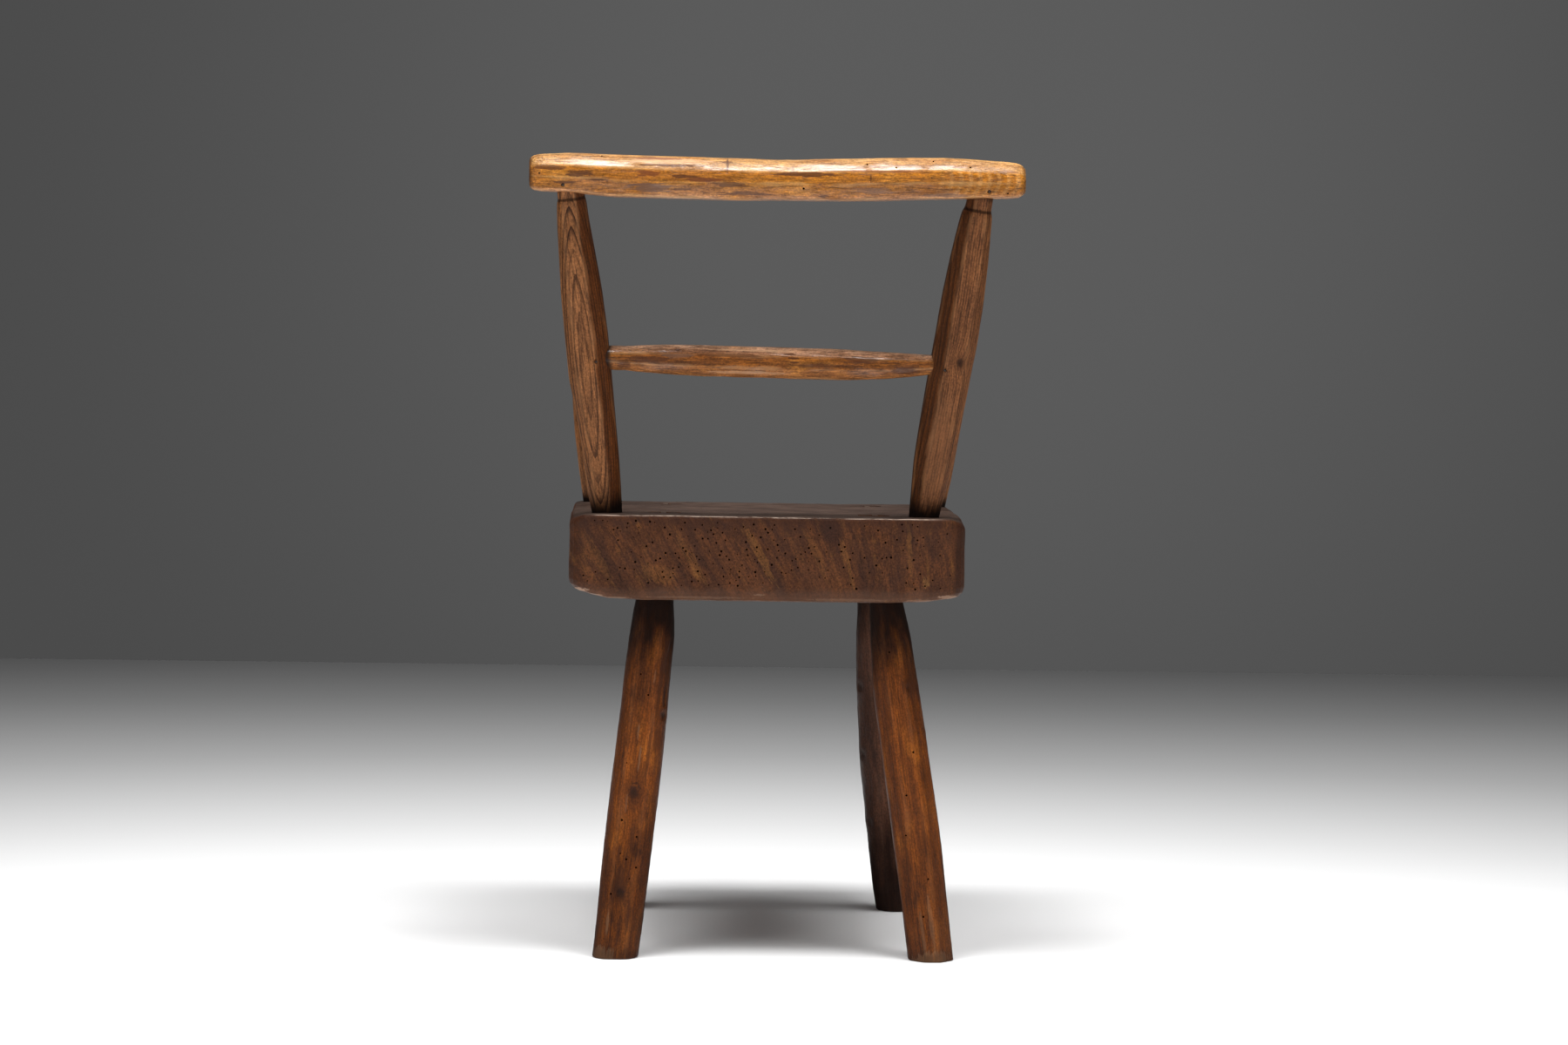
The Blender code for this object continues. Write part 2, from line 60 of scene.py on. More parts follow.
def openMesh(piece, mode="VERT"):
    pickOnly(piece)
    bpy.ops.object.mode_set(mode="EDIT")
    bpy.ops.mesh.select_mode(type=mode)
    bpy.ops.mesh.select_all(action="DESELECT")


def closeMesh():
    bpy.ops.object.mode_set(mode="OBJECT")


def settle():
    bpy.ops.object.transform_apply(location=True, rotation=True, scale=True)


def selectWhere(piece, kind, test):
    bpy.ops.mesh.select_all(action="DESELECT")
    form = bmesh.from_edit_mesh(piece.data)
    for item in getattr(form, kind):
        if test(item):
            item.select_set(True)
    form.select_flush_mode()
    bmesh.update_edit_mesh(piece.data)


def applyModifier(piece, kind, **settings):
    pickOnly(piece)
    modifier = piece.modifiers.new(kind.lower(), kind)
    for name, value in settings.items():
        setattr(modifier, name, value)
    bpy.ops.object.modifier_apply(modifier=modifier.name)


def subdivide(piece, levels, simple=False):
    applyModifier(piece, "SUBSURF", levels=levels, render_levels=levels,
                  subdivision_type="SIMPLE" if simple else "CATMULL_CLARK")


def roughen(piece, size, depth, stretch, seed):
    # uneven surface from cloud noise, drawn out along the stick by a stretched empty
    bpy.ops.object.select_all(action="DESELECT")
    bpy.ops.object.empty_add(location=(0.37 * seed, 0.61 * seed, 0.23 * seed))
    ruler = bpy.context.object
    ruler.scale = stretch
    bpy.context.view_layer.update()
    clouds = bpy.data.textures.new("hewnClouds", "CLOUDS")
    clouds.noise_scale = size
    clouds.noise_depth = 2
    applyModifier(piece, "DISPLACE", texture=clouds, texture_coords="OBJECT",
                  texture_coords_object=ruler, strength=depth, mid_level=0.5)
    bpy.data.objects.remove(ruler)
    bpy.data.textures.remove(clouds)


def cutAway(piece, cutter, solver="EXACT"):
    applyModifier(piece, "BOOLEAN", operation="DIFFERENCE", object=cutter, solver=solver)
    bpy.data.objects.remove(cutter)


def grownCopy(piece, growth):
    pickOnly(piece)
    bpy.ops.object.duplicate()
    copy = bpy.context.object
    applyModifier(copy, "DISPLACE", strength=growth, mid_level=0.0)
    return copy


def dress(piece, node, material):
    piece.name = node + ".look"
    piece.data.name = node + ".look"
    if material is not None:
        piece.data.materials.clear()
        piece.data.materials.append(material)
    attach(piece, "root")
    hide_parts(node)
    return piece


# Shader nodes, placed and wired
def rgb(colour):
    return (*colour, 1.0)


def feed(tree, socket, value):
    if isinstance(value, bpy.types.NodeSocket):
        tree.links.new(value, socket)
    else:
        socket.default_value = value


def calc(tree, operation, *values):
    node = tree.nodes.new("ShaderNodeMath")
    node.operation = operation
    for socket, value in zip(node.inputs, values):
        feed(tree, socket, value)
    return node.outputs[0]


def vectorCalc(tree, operation, *values):
    node = tree.nodes.new("ShaderNodeVectorMath")
    node.operation = operation
    for socket, value in zip(node.inputs, values):
        feed(tree, socket, value)
    plain = operation in ("LENGTH", "DOT_PRODUCT", "DISTANCE")
    return node.outputs["Value" if plain else "Vector"]


def blend(tree, factor, first, second, mode="MIX"):
    node = tree.nodes.new("ShaderNodeMix")
    node.data_type = "RGBA"
    node.blend_type = mode
    for socket, value in ((node.inputs[0], factor), (node.inputs[6], first), (node.inputs[7], second)):
        feed(tree, socket, value)
    return node.outputs[2]


def spread(tree, value, low, high, toLow=0.0, toHigh=1.0):
    node = tree.nodes.new("ShaderNodeMapRange")
    node.interpolation_type = "SMOOTHSTEP"
    for socket, amount in zip(node.inputs, (value, low, high, toLow, toHigh)):
        feed(tree, socket, amount)
    return node.outputs[0]


def noise(tree, place, stretch, detail=2.0, rough=0.55):
    node = tree.nodes.new("ShaderNodeTexNoise")
    feed(tree, node.inputs["Vector"], vectorCalc(tree, "MULTIPLY", place, stretch))
    node.inputs["Scale"].default_value = 1.0
    node.inputs["Detail"].default_value = detail
    node.inputs["Roughness"].default_value = rough
    return node.outputs[0]


def lot(tree, value):
    node = tree.nodes.new("ShaderNodeTexWhiteNoise")  # one drawn value for each whole number
    node.noise_dimensions = "1D"
    feed(tree, node.inputs["W"], value)
    return node.outputs[0]


def times(tree, first, second):
    return calc(tree, "MULTIPLY", first, second)


def swing(tree, *settings):
    return calc(tree, "SUBTRACT", noise(tree, *settings), 0.5)  # noise on both sides of nought


def vary(tree, body, amount):
    return blend(tree, 1.0, body, amount, "MULTIPLY")


def tint(tree, body, colour, mask, strength=None):
    if strength is not None:
        mask = times(tree, mask, strength)
    return blend(tree, mask, body, rgb(colour))


def threeParts(tree, vector):
    parts = tree.nodes.new("ShaderNodeSeparateXYZ")
    tree.links.new(vector, parts.inputs[0])
    return parts.outputs


def facing(tree):
    return threeParts(tree, tree.nodes.new("ShaderNodeNewGeometry").outputs["Normal"])


def objectPlace(tree):
    return tree.nodes.new("ShaderNodeTexCoord").outputs["Object"]


def markOn(tree, name):
    node = tree.nodes.new("ShaderNodeAttribute")
    node.attribute_name = name
    return node.outputs["Fac"]


def giveRelief(tree, shader, height, strength, distance):
    bump = tree.nodes.new("ShaderNodeBump")
    bump.inputs["Strength"].default_value = strength
    bump.inputs["Distance"].default_value = distance * mm
    tree.links.new(height, bump.inputs["Height"])
    tree.links.new(bump.outputs[0], shader.inputs["Normal"])


def newGroup(name, inputs, outputs):
    tree = bpy.data.node_groups.new(name, "ShaderNodeTree")
    for direction, sockets in (("INPUT", inputs), ("OUTPUT", outputs)):
        for socketName in sockets:
            kind = "NodeSocketVector" if socketName in vectorSockets else "NodeSocketFloat"
            tree.interface.new_socket(name=socketName, in_out=direction, socket_type=kind)
    source = tree.nodes.new("NodeGroupInput")
    sink = tree.nodes.new("NodeGroupOutput")
    return tree, source.outputs, sink.inputs


def useGroup(tree, group, **values):
    node = tree.nodes.new("ShaderNodeGroup")
    node.node_tree = group
    for name, value in values.items():
        feed(tree, node.inputs[name], value)
    return node.outputs


vectorSockets = ("Place", "Slope", "Bow", "Centre", "Size", "Grain")


def makeGrowthRings():
    # year rings as curved layers through the stick: flat layers give straight lines, bowed ones give ovals
    taken = ("Place", "Slope", "Bow", "Close", "Power", "Spacing", "Waver", "Swirl", "Sharp")
    tree, given, put = newGroup("growthRings", taken, ("Line", "Tone"))
    place = given["Place"]
    flat = vectorCalc(tree, "DOT_PRODUCT", place, given["Slope"])
    squares = vectorCalc(tree, "MULTIPLY", place, place)
    bowed = calc(tree, "POWER", vectorCalc(tree, "DOT_PRODUCT", squares, given["Bow"]), given["Power"])
    closing = vectorCalc(tree, "DOT_PRODUCT", squares, (0, 0, 1))
    bowed = calc(tree, "MULTIPLY_ADD", closing, given["Close"], bowed)
    slow = swing(tree, place, (55, 55, 11))
    quick = swing(tree, place, (330, 330, 40))
    waver = times(tree, calc(tree, "MULTIPLY_ADD", quick, 0.3, slow), given["Waver"])
    depth = calc(tree, "ADD", calc(tree, "ADD", flat, bowed), calc(tree, "ADD", waver, given["Swirl"]))
    turns = calc(tree, "DIVIDE", depth, given["Spacing"])
    within = calc(tree, "FRACT", turns)
    rise = spread(tree, within, given["Sharp"], 0.95)
    fall = spread(tree, within, 0.96, 1.0, 1.0, 0.0)
    which = calc(tree, "FLOOR", turns)
    strength = spread(tree, lot(tree, which), 0.0, 1.0, 0.5, 1.0)
    feed(tree, put["Line"], times(tree, times(tree, rise, fall), strength))
    feed(tree, put["Tone"], lot(tree, calc(tree, "ADD", which, 0.5)))
    return tree


def makeWoodFibres():
    tree, given, put = newGroup("woodFibres", ("Place", "Short"), ("Fine", "Pores", "Broad", "Fleck"))
    shortened = tree.nodes.new("ShaderNodeCombineXYZ")
    shortened.inputs[0].default_value = 1.0
    shortened.inputs[1].default_value = 1.0
    tree.links.new(given["Short"], shortened.inputs[2])
    place = vectorCalc(tree, "MULTIPLY", given["Place"], shortened.outputs[0])
    feed(tree, put["Fine"], noise(tree, place, (760, 760, 45), 5.0, 0.72))
    feed(tree, put["Pores"], spread(tree, noise(tree, place, (1000, 1000, 95), 2.0), 0.56, 0.64))
    feed(tree, put["Broad"], noise(tree, place, (140, 140, 9), 4.0, 0.62))
    feed(tree, put["Fleck"], spread(tree, noise(tree, place, (380, 380, 26), 5.0, 0.68), 0.58, 0.65))
    return tree


def makeKnotSwirl():
    tree, given, put = newGroup("knotSwirl", ("Place", "Centre", "Radius"), ("Mask", "Halo", "Swirl"))
    away = vectorCalc(tree, "SUBTRACT", given["Place"], given["Centre"])
    reach = vectorCalc(tree, "LENGTH", vectorCalc(tree, "MULTIPLY", away, (1.0, 1.0, 0.62)))
    ragged = swing(tree, given["Place"], (420, 420, 300))
    near = calc(tree, "MULTIPLY_ADD", ragged, 0.7, calc(tree, "DIVIDE", reach, given["Radius"]))
    feed(tree, put["Mask"], spread(tree, near, 0.35, 0.85, 1.0, 0.0))
    feed(tree, put["Halo"], spread(tree, near, 0.6, 1.9, 1.0, 0.0))
    bell = calc(tree, "EXPONENT", times(tree, times(tree, near, near), -0.35))
    feed(tree, put["Swirl"], times(tree, bell, given["Radius"]))
    return tree


def makeAgedPatch():
    tree, given, put = newGroup("agedPatch", ("Place", "Centre", "Size", "Ragged", "Grain"), ("Mask",))
    away = vectorCalc(tree, "DIVIDE", vectorCalc(tree, "SUBTRACT", given["Place"], given["Centre"]),
                      given["Size"])
    ragged = swing(tree, given["Place"], given["Grain"], 5.0, 0.7)
    reach = calc(tree, "MULTIPLY_ADD", ragged, given["Ragged"], vectorCalc(tree, "LENGTH", away))
    feed(tree, put["Mask"], spread(tree, reach, 0.86, 1.0, 1.0, 0.0))
    return tree


def makeHandWear():
    tree, given, put = newGroup("handWear", ("Place", "Arris"), ("Mask",))
    uneven = swing(tree, given["Place"], (150, 150, 38), 3.0)
    edge = calc(tree, "MULTIPLY_ADD", uneven, 1.5, given["Arris"])
    feed(tree, put["Mask"], spread(tree, edge, 0.72, 1.15))
    return tree


# darker towards a joint or end: dirt there, and painted shade where a leg lies under the seat
def makeJointGrimeAndShade():
    tree, given, put = newGroup("jointGrimeAndShade", ("Place", "Distance", "Reach"), ("Mask",))
    uneven = swing(tree, given["Place"], (110, 110, 36), 3.0)
    share = calc(tree, "DIVIDE", given["Distance"], given["Reach"])
    share = calc(tree, "MULTIPLY_ADD", uneven, 0.8, share)
    feed(tree, put["Mask"], spread(tree, share, 0.2, 1.0, 1.0, 0.0))
    return tree


def makeSettledDust():
    tree, given, put = newGroup("settledDust", ("Place",), ("Mask",))
    up = spread(tree, facing(tree)[2], 0.70, 0.98)
    patchy = spread(tree, noise(tree, given["Place"], (45, 45, 45), 4.0, 0.65), 0.30, 0.72)
    feed(tree, put["Mask"], times(tree, up, patchy))
    return tree


growthRings = makeGrowthRings()
woodFibres = makeWoodFibres()
knotSwirl = makeKnotSwirl()
agedPatch = makeAgedPatch()
handWear = makeHandWear()
jointGrimeAndShade = makeJointGrimeAndShade()
settledDust = makeSettledDust()
print("shader groups ready")


def startMaterial(name):
    material = bpy.data.materials.new(name)
    material.use_nodes = True
    tree = material.node_tree
    return material, tree, tree.nodes["Principled BSDF"]


def stickPlace(tree, start, turn):
    # Object coordinates turned so that Z runs up the stick from its start
    mapping = tree.nodes.new("ShaderNodeMapping")
    mapping.vector_type = "TEXTURE"
    mapping.inputs["Location"].default_value = start
    mapping.inputs["Rotation"].default_value = turn.to_euler()
    tree.links.new(objectPlace(tree), mapping.inputs["Vector"])
    return mapping.outputs[0]


# marks that every stick's wood shares
woodMarks = {"lee": 0.85, "curl": 0.24, "curlBow": 45.0, "knotHalo": 0.55, "knotEye": 0.85, "sunk": 0.88,
             "ragged": 2.3, "patchGrain": (680, 680, 75), "topSoil": 0.92, "coatRough": 0.17,
             "reliefDeep": 0.35}


def stickWood(part, wood, start, turn, length):
    material, tree, shader = startMaterial(part["node"] + "Wood")
    place = stickPlace(tree, start, turn)

    def up(runPlace):
        return (runPlace * mm - start[part["run"]]) / turn[part["run"]][2]  # place along the stick itself

    def spot(centre):
        return (centre[0] * mm, centre[1] * mm, up(centre[2]))

    places, faces = threeParts(tree, place), facing(tree)
    across, along = places[0], places[2]
    sideways, skyward = faces[0], faces[2]
    fibres = useGroup(tree, woodFibres, Place=place, Short=part.get("short", wood["short"]))

    swirl, knots = 0.0, []
    for centre, radius in part.get("knots", ()):
        knot = useGroup(tree, knotSwirl, Place=place, Centre=spot(centre), Radius=radius * mm)
        knots.append(knot)
        swirl = calc(tree, "ADD", swirl, knot["Swirl"])
    figure = part["figure"]
    middle = up(figure["middle"]) if "middle" in figure else length / 2
    centred = vectorCalc(tree, "SUBTRACT", place, (figure.get("offset", 0.0) * mm, 0, middle))
    if "tilt" in figure:
        leaning = tree.nodes.new("ShaderNodeMapping")
        leaning.inputs["Rotation"].default_value = (0, -figure["tilt"], 0)
        tree.links.new(centred, leaning.inputs["Vector"])
        centred = leaning.outputs[0]
    rings = useGroup(tree, growthRings, Place=centred, Slope=figure["slope"], Bow=figure["bow"],
                     Close=figure.get("close", 0.0), Power=figure.get("power", 1.0),
                     Spacing=figure["spacing"] * mm, Waver=figure["waver"] * mm, Swirl=swirl,
                     Sharp=figure.get("sharp", 0.58))

    # body colour: paler on upward faces (sun-faded, and on the rail partly a painted sheen), darker below, in
    # broad streaks and clouds
    fade = spread(tree, skyward, *wood["fadeFrom"])
    body = blend(tree, fade, rgb(wood["lower"]), rgb(wood["upper"]))
    level = spread(tree, calc(tree, "ABSOLUTE", skyward), 0.25, 0.6, 1.0, 0.0)
    if "middle" in wood:
        body = tint(tree, body, wood["middle"], level)
    streak = spread(tree, fibres["Broad"], 0.36, 0.66)
    body = tint(tree, body, wood["dark"], streak, wood["streak"])
    cloud = noise(tree, place, (60, 60, 22), 4.0, 0.62)
    glow = times(tree, spread(tree, cloud, 0.50, 0.70), wood["glow"])
    body = tint(tree, body, wood["bright"], glow)
    blotch = times(tree, spread(tree, cloud, 0.32, 0.48, 1.0, 0.0), wood["blotch"])
    body = tint(tree, body, wood["dark"], blotch)
    if "shadeSide" in part:
        lee = spread(tree, times(tree, sideways, part["shadeSide"]), 0.20, 0.40)
        body = tint(tree, body, wood["shade"], lee, woodMarks["lee"])
    if "sideShade" in wood:
        side = spread(tree, calc(tree, "ABSOLUTE", sideways), 0.45, 0.95)
        body = tint(tree, body, wood["dark"], side, wood["sideShade"])
    if "curl" in part:
        low, high, gap = part["curl"]
        crescent = calc(tree, "MULTIPLY_ADD", times(tree, across, across), woodMarks["curlBow"], along)
        wave = calc(tree, "SINE", times(tree, crescent, math.tau / (gap * mm)))
        ripple = times(tree, spread(tree, wave, -0.3, 0.9), spread(tree, along, up(low), up(high)))
        ripple = times(tree, times(tree, ripple, level), woodMarks["curl"])
        body = tint(tree, body, wood["worn"], ripple)

    # figure of the grain
    tone = calc(tree, "MULTIPLY_ADD", rings["Tone"], 0.3, 0.85)
    body = vary(tree, body, tone)
    body = tint(tree, body, wood["ring"], rings["Line"], wood["ringStrength"])
    body = tint(tree, body, wood["pore"], fibres["Pores"], wood["poreStrength"])
    fine = spread(tree, fibres["Fine"], 0.25, 0.75, 1 - wood["fine"], 1 + wood["fine"])
    body = vary(tree, body, fine)
    speck = noise(tree, place, (850, 850, 600), 4.0, 0.75)
    body = vary(tree, body, spread(tree, speck, 0.3, 0.7, 0.62, 1.38))
    body = tint(tree, body, wood["dark"], fibres["Fleck"], wood["fleck"])
    wander = calc(tree, "ABSOLUTE", swing(tree, place, (190, 190, 6), 3.0))
    crack = times(tree, spread(tree, wander, 0.0, 0.016, 1.0, 0.0), spread(tree, cloud, 0.42, 0.56, 1.0, 0.0))
    body = tint(tree, body, wood["ring"], crack, wood["cracks"])

    # wear, knots, patches, dirt, and painted shade
    worn = useGroup(tree, handWear, Place=place, Arris=markOn(tree, "arris"))["Mask"]
    body = tint(tree, body, wood["worn"], worn, wood["wornStrength"])
    for knot in knots:
        body = tint(tree, body, wood["dark"], knot["Halo"], woodMarks["knotHalo"])
        body = tint(tree, body, wood["ring"], knot["Mask"], woodMarks["knotEye"])
    if "knots" in part or "grooves" in part:
        eaten = swing(tree, place, (700, 700, 260), 4.0, 0.7)
        sunk = spread(tree, calc(tree, "MULTIPLY_ADD", eaten, 1.6, markOn(tree, "scar")), 0.45, 0.95)
        body = tint(tree, body, wood["ring"], sunk, woodMarks["sunk"])
    dull = 0.0
    for centre, size, colour, strength in part.get("patches", ()):
        mask = useGroup(tree, agedPatch, Place=place, Centre=spot(centre), Size=[n * mm for n in size],
                        Ragged=woodMarks["ragged"], Grain=woodMarks["patchGrain"])["Mask"]
        mask = times(tree, mask, strength)
        body = tint(tree, body, colour, mask)
        dull = calc(tree, "MAXIMUM", dull, times(tree, mask, 0.2))
    for joint, reach, strength in part.get("grimeAndShade", ()):
        distance = calc(tree, "ABSOLUTE", calc(tree, "SUBTRACT", along, up(joint)))
        mask = useGroup(tree, jointGrimeAndShade, Place=place, Distance=distance, Reach=reach * mm)["Mask"]
        mask = times(tree, mask, strength)
        body = tint(tree, body, wood["grimeAndShade"], mask)
        dull = calc(tree, "MAXIMUM", dull, times(tree, mask, 0.4))
    dust = useGroup(tree, settledDust, Place=place)["Mask"]
    body = tint(tree, body, wood["dustColour"], dust, wood["dust"])
    if "top" in wood:
        body = tint(tree, body, wood["top"], spread(tree, skyward, 0.6, 0.9, 0.0, woodMarks["topSoil"]))
    tree.links.new(body, shader.inputs["Base Color"])

    # gloss in rubbed places, and fine relief
    low, high = wood["rough"]
    rough = spread(tree, fibres["Fine"], 0.2, 0.8, low, high)
    rough = calc(tree, "ADD", calc(tree, "MULTIPLY_ADD", dust, 0.2, rough), dull)
    rubbed = spread(tree, noise(tree, place, (42, 42, 17), 4.0, 0.65), *wood["rubbed"])
    rough = calc(tree, "MULTIPLY_ADD", rubbed, -wood["polish"], rough)
    tree.links.new(rough, shader.inputs["Roughness"])
    height = calc(tree, "MULTIPLY_ADD", fibres["Fine"], 0.7, times(tree, rings["Line"], -0.5))
    height = calc(tree, "MULTIPLY_ADD", fibres["Pores"], -0.6, height)
    height = calc(tree, "MULTIPLY_ADD", crack, -1.0, height)
    height = calc(tree, "MULTIPLY_ADD", speck, 0.5, height)
    giveRelief(tree, shader, height, wood["relief"], woodMarks["reliefDeep"])
    shader.inputs["Specular IOR Level"].default_value = wood["shine"]
    if wood["wax"]:
        waxed = times(tree, rubbed, spread(tree, fibres["Fine"], 0.34, 0.57, 0.22, wood["wax"]))
        for bare, full in part.get("waxEnds", ()):
            waxed = times(tree, waxed, spread(tree, along, up(bare), up(full)))
        tree.links.new(waxed, shader.inputs["Coat Weight"])
        shader.inputs["Coat Roughness"].default_value = woodMarks["coatRough"]
    return material


# Shaved sticks: an eight-sided cage, ringed where the photo gives a width, then rounded and roughened
arrisLines = tuple(range(1, 16, 2))
foot = {"edge": 0.8, "taper": 0.93}  # worn edge of a sawn leg
# marks over the whole stick: name and usual depth, size, stretch along the stick, step of the seed
surfaceMarks = [("toolDepth", 0.45, 10, 4, 1), ("dentDepth", 0.2, 4.2, 1.7, 3),
                ("grainDepth", 0.16, 2.4, 22, 2)]
# a knot's sunk eye and the low mound round it, in shares of its radius
knotShape = {"eye": 0.3, "reach": 1.0, "depth": 0.22, "dark": 0.45,
             "moundHalf": 0.5, "moundReach": 2.4, "moundRise": 0.13}
grooveDark = 0.5  # how far a groove's dark edge goes past its half width, in mm


def stickEnds(part):
    points = {tuple(round(c, 6) for c in vert.co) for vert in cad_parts[part["node"]].data.vertices}
    points = [Vector(point) for point in points]
    if part["level"]:
        ends = []
        for height in (min(p.z for p in points), max(p.z for p in points)):
            rim = [p for p in points if abs(p.z - height) < 0.1 * mm]
            middle = [(min(p[i] for p in rim) + max(p[i] for p in rim)) / 2 for i in (0, 1)]
            ends.append(Vector((*middle, height)))
        return ends
    along = Vector(tuple(1.0 if axis == part["run"] else 0.0 for axis in range(3)))
    for margin in (3.0, 2.0, 1.0, 0.5):
        reach = [p.dot(along) for p in points]
        ends = []
        for limit in (min(reach), max(reach)):
            rim = [p for p, far in zip(points, reach) if abs(far - limit) < margin * mm]
            ends.append(sum(rim, Vector()) / len(rim))
        along = (ends[1] - ends[0]).normalized()
    return ends


def ringTargets(part, dice):
    # the 16 corners of one ring, in half widths: 8 arrises and the 8 middles of the flats
    arrises = part.get("arrises")
    if arrises is None:
        keep = 1.0 - part["chamfer"]
        arrises = [(1, keep), (keep, 1), (-keep, 1), (-1, keep), (-1, -keep), (-keep, -1), (keep, -1),
                   (1, -keep)]
    uneven = part.get("uneven", 0.05)
    arrises = [(x + dice.uniform(-uneven, uneven) * (abs(x) < 1),
                y + dice.uniform(-uneven, uneven) * (abs(y) < 1))
               for x, y in arrises]
    crown = part.get("crown", 1.02)
    targets = []
    for index in range(8):
        before, here = arrises[index - 1], arrises[index]
        targets.append(((before[0] + here[0]) / 2 * crown, (before[1] + here[1]) / 2 * crown))
        targets.append(here)
    return targets


def stationAt(stations, place):
    for (low, *lowValues), (high, *highValues) in zip(stations, stations[1:]):
        if low <= place <= high:
            share = (place - low) / (high - low)
            return [a + (b - a) * share for a, b in zip(lowValues, highValues)]
    return list(stations[0][1:] if place < stations[0][0] else stations[-1][1:])


def ringPlaces(stations, gap):
    places = [stations[0][0]]
    for station in stations[1:]:
        low, high = places[-1], station[0]
        steps = max(1, math.ceil((high - low) / gap))
        places += [low + (high - low) * (step + 1) / steps for step in range(steps)]
    return places


def awayFrom(point, path):
    if len(path) == 1:
        return (point - path[0]).length
    best = 1.0
    for low, high in zip(path, path[1:]):
        step = high - low
        share = min(1.0, max(0.0, (point - low).dot(step) / step.length_squared))
        best = min(best, (point - low - step * share).length)
    return best


def pressIn(stick, path, half, reach, depth):
    # vertices near the path go in along their normals, and their neighbours follow
    openMesh(stick)
    selectWhere(stick, "verts", lambda v: awayFrom(v.co, path) < half)
    bpy.ops.transform.shrink_fatten(value=-depth, use_proportional_edit=True, proportional_size=reach,
                                    proportional_edit_falloff="SMOOTH")
    closeMesh()


def scarStick(stick, part, start, along):
    # knots stand in low mounds with a sunk eye, grooves follow their path
    def onSkin(spot):
        up = (spot[2] * mm - start[part["run"]]) / along[part["run"]]
        place = Vector((spot[0] * mm, spot[1] * mm, up))
        return stick.closest_point_on_mesh(place)[1]

    stick.data.attributes.new("scar", "FLOAT", "POINT")
    depths = [0.0] * len(stick.data.vertices)
    eye = [knotShape[name] for name in ("eye", "reach", "depth", "dark")]
    scars = [([onSkin(spot)], *(radius * share for share in eye)) for spot, radius in part.get("knots", ())]
    scars += [([onSkin(spot) for spot in path], half, reach, depth, half + grooveDark)
              for path, half, reach, depth in part.get("grooves", ())]
    for spot, radius in part.get("knots", ()):
        pressIn(stick, [onSkin(spot)], radius * knotShape["moundHalf"] * mm,
                radius * knotShape["moundReach"] * mm, -radius * knotShape["moundRise"] * mm)
    for path, half, reach, depth, dark in scars:
        for vert in stick.data.vertices:
            away = awayFrom(vert.co, path) / (dark * mm)
            depths[vert.index] = max(depths[vert.index], min(1.0, 1.6 - away))
        pressIn(stick, path, half * mm, reach * mm, depth * mm)
    marks = stick.data.attributes["scar"]
    for index, depth in enumerate(depths):
        marks.data[index].value = max(0.0, depth)


def shapeStick(part):
    dice = random.Random(part["seed"])
    start, end = stickEnds(part)
    along = (end - start).normalized()
    face = Vector(part["face"])
    face = (face - along * face.dot(along)).normalized()
    turn = Matrix((face, along.cross(face), along)).transposed()
    run = part["run"]
    stations = [((place * mm - start[run]) / along[run], width * mm, shift * mm)
                for place, width, shift in part["stations"]]
    if not part["level"]:
        reach = (end - start).length
        ends = [(place, *stationAt(stations, place)) for place in (0.0, reach)]
        stations = [ends[0]] + [one for one in stations if 0.5 * mm < one[0] < reach - 0.5 * mm] + [ends[1]]
    places = ringPlaces(stations, part.get("ringGap", 9) * mm)

    bpy.ops.object.select_all(action="DESELECT")
    bpy.ops.mesh.primitive_cylinder_add(vertices=16, radius=1, depth=1, location=(0, 0, 0.5))
    stick = bpy.context.object
    settle()
    openMesh(stick, "EDGE")
    selectWhere(stick, "edges", lambda e: abs(e.verts[0].co.z - e.verts[1].co.z) > 0.5)
    bpy.ops.mesh.subdivide(number_cuts=len(places) - 2)
    bpy.ops.mesh.select_mode(type="VERT")
    form = bmesh.from_edit_mesh(stick.data)
    lines, rings = {}, {}
    for vert in form.verts:
        line = round(math.atan2(vert.co.y, vert.co.x) / (math.tau / 16)) % 16
        lines.setdefault(line, set()).add(vert.index)
        rings.setdefault(round(vert.co.z * (len(places) - 1)), set()).add(vert.index)

    for line, (x, y) in enumerate(ringTargets(part, dice)):
        angle = line * math.tau / 16
        selectWhere(stick, "verts", lambda v: v.index in lines[line])
        bpy.ops.transform.translate(value=(x - math.cos(angle), y - math.sin(angle), 0))
    for ring, place in enumerate(places):
        width, shift = stationAt(stations, place)
        selectWhere(stick, "verts", lambda v: v.index in rings[ring])
        bpy.ops.transform.resize(value=(width / 2, width / 2, 1), center_override=(0, 0, 0))
        bpy.ops.transform.translate(value=(shift, 0, place - ring / (len(places) - 1)))
    closeMesh()

    marks = stick.data.attributes.new("arris", "FLOAT", "POINT")
    for line in arrisLines:
        for index in lines[line]:
            marks.data[index].value = 1.0
    roughen(stick, part.get("hewSize", 34) * mm, part["hewDepth"] * mm, (1, 1, 2.2), part["seed"])
    openMesh(stick, "EDGE")
    arrisVerts = set().union(*(lines[line] for line in arrisLines))

    def isArris(edge):
        onFlats = len(edge.link_faces) == 2 and all(len(f.verts) == 4 for f in edge.link_faces)
        return onFlats and all(v.index in arrisVerts for v in edge.verts)

    selectWhere(stick, "edges", isArris)
    bpy.ops.mesh.bevel(offset=part["arris"] * mm, offset_type="OFFSET", segments=2, affect="EDGES",
                       clamp_overlap=True)
    bpy.ops.mesh.select_mode(type="FACE")
    selectWhere(stick, "faces", lambda f: len(f.verts) > 8)
    bpy.ops.mesh.inset(thickness=part.get("endRound", 1.4) * mm, use_even_offset=True)
    closeMesh()
    subdivide(stick, 2)
    for key, usual, size, stretch, step in surfaceMarks:
        roughen(stick, size * mm, part.get(key, usual) * mm, (1, 1, stretch), part["seed"] + step)
    if "knots" in part or "grooves" in part:
        scarStick(stick, part, start, along)

    stick.matrix_world = Matrix.Translation(start) @ turn.to_4x4()
    pickOnly(stick)
    settle()
    bpy.ops.object.shade_smooth()
    return stick, start, turn, (end - start).length


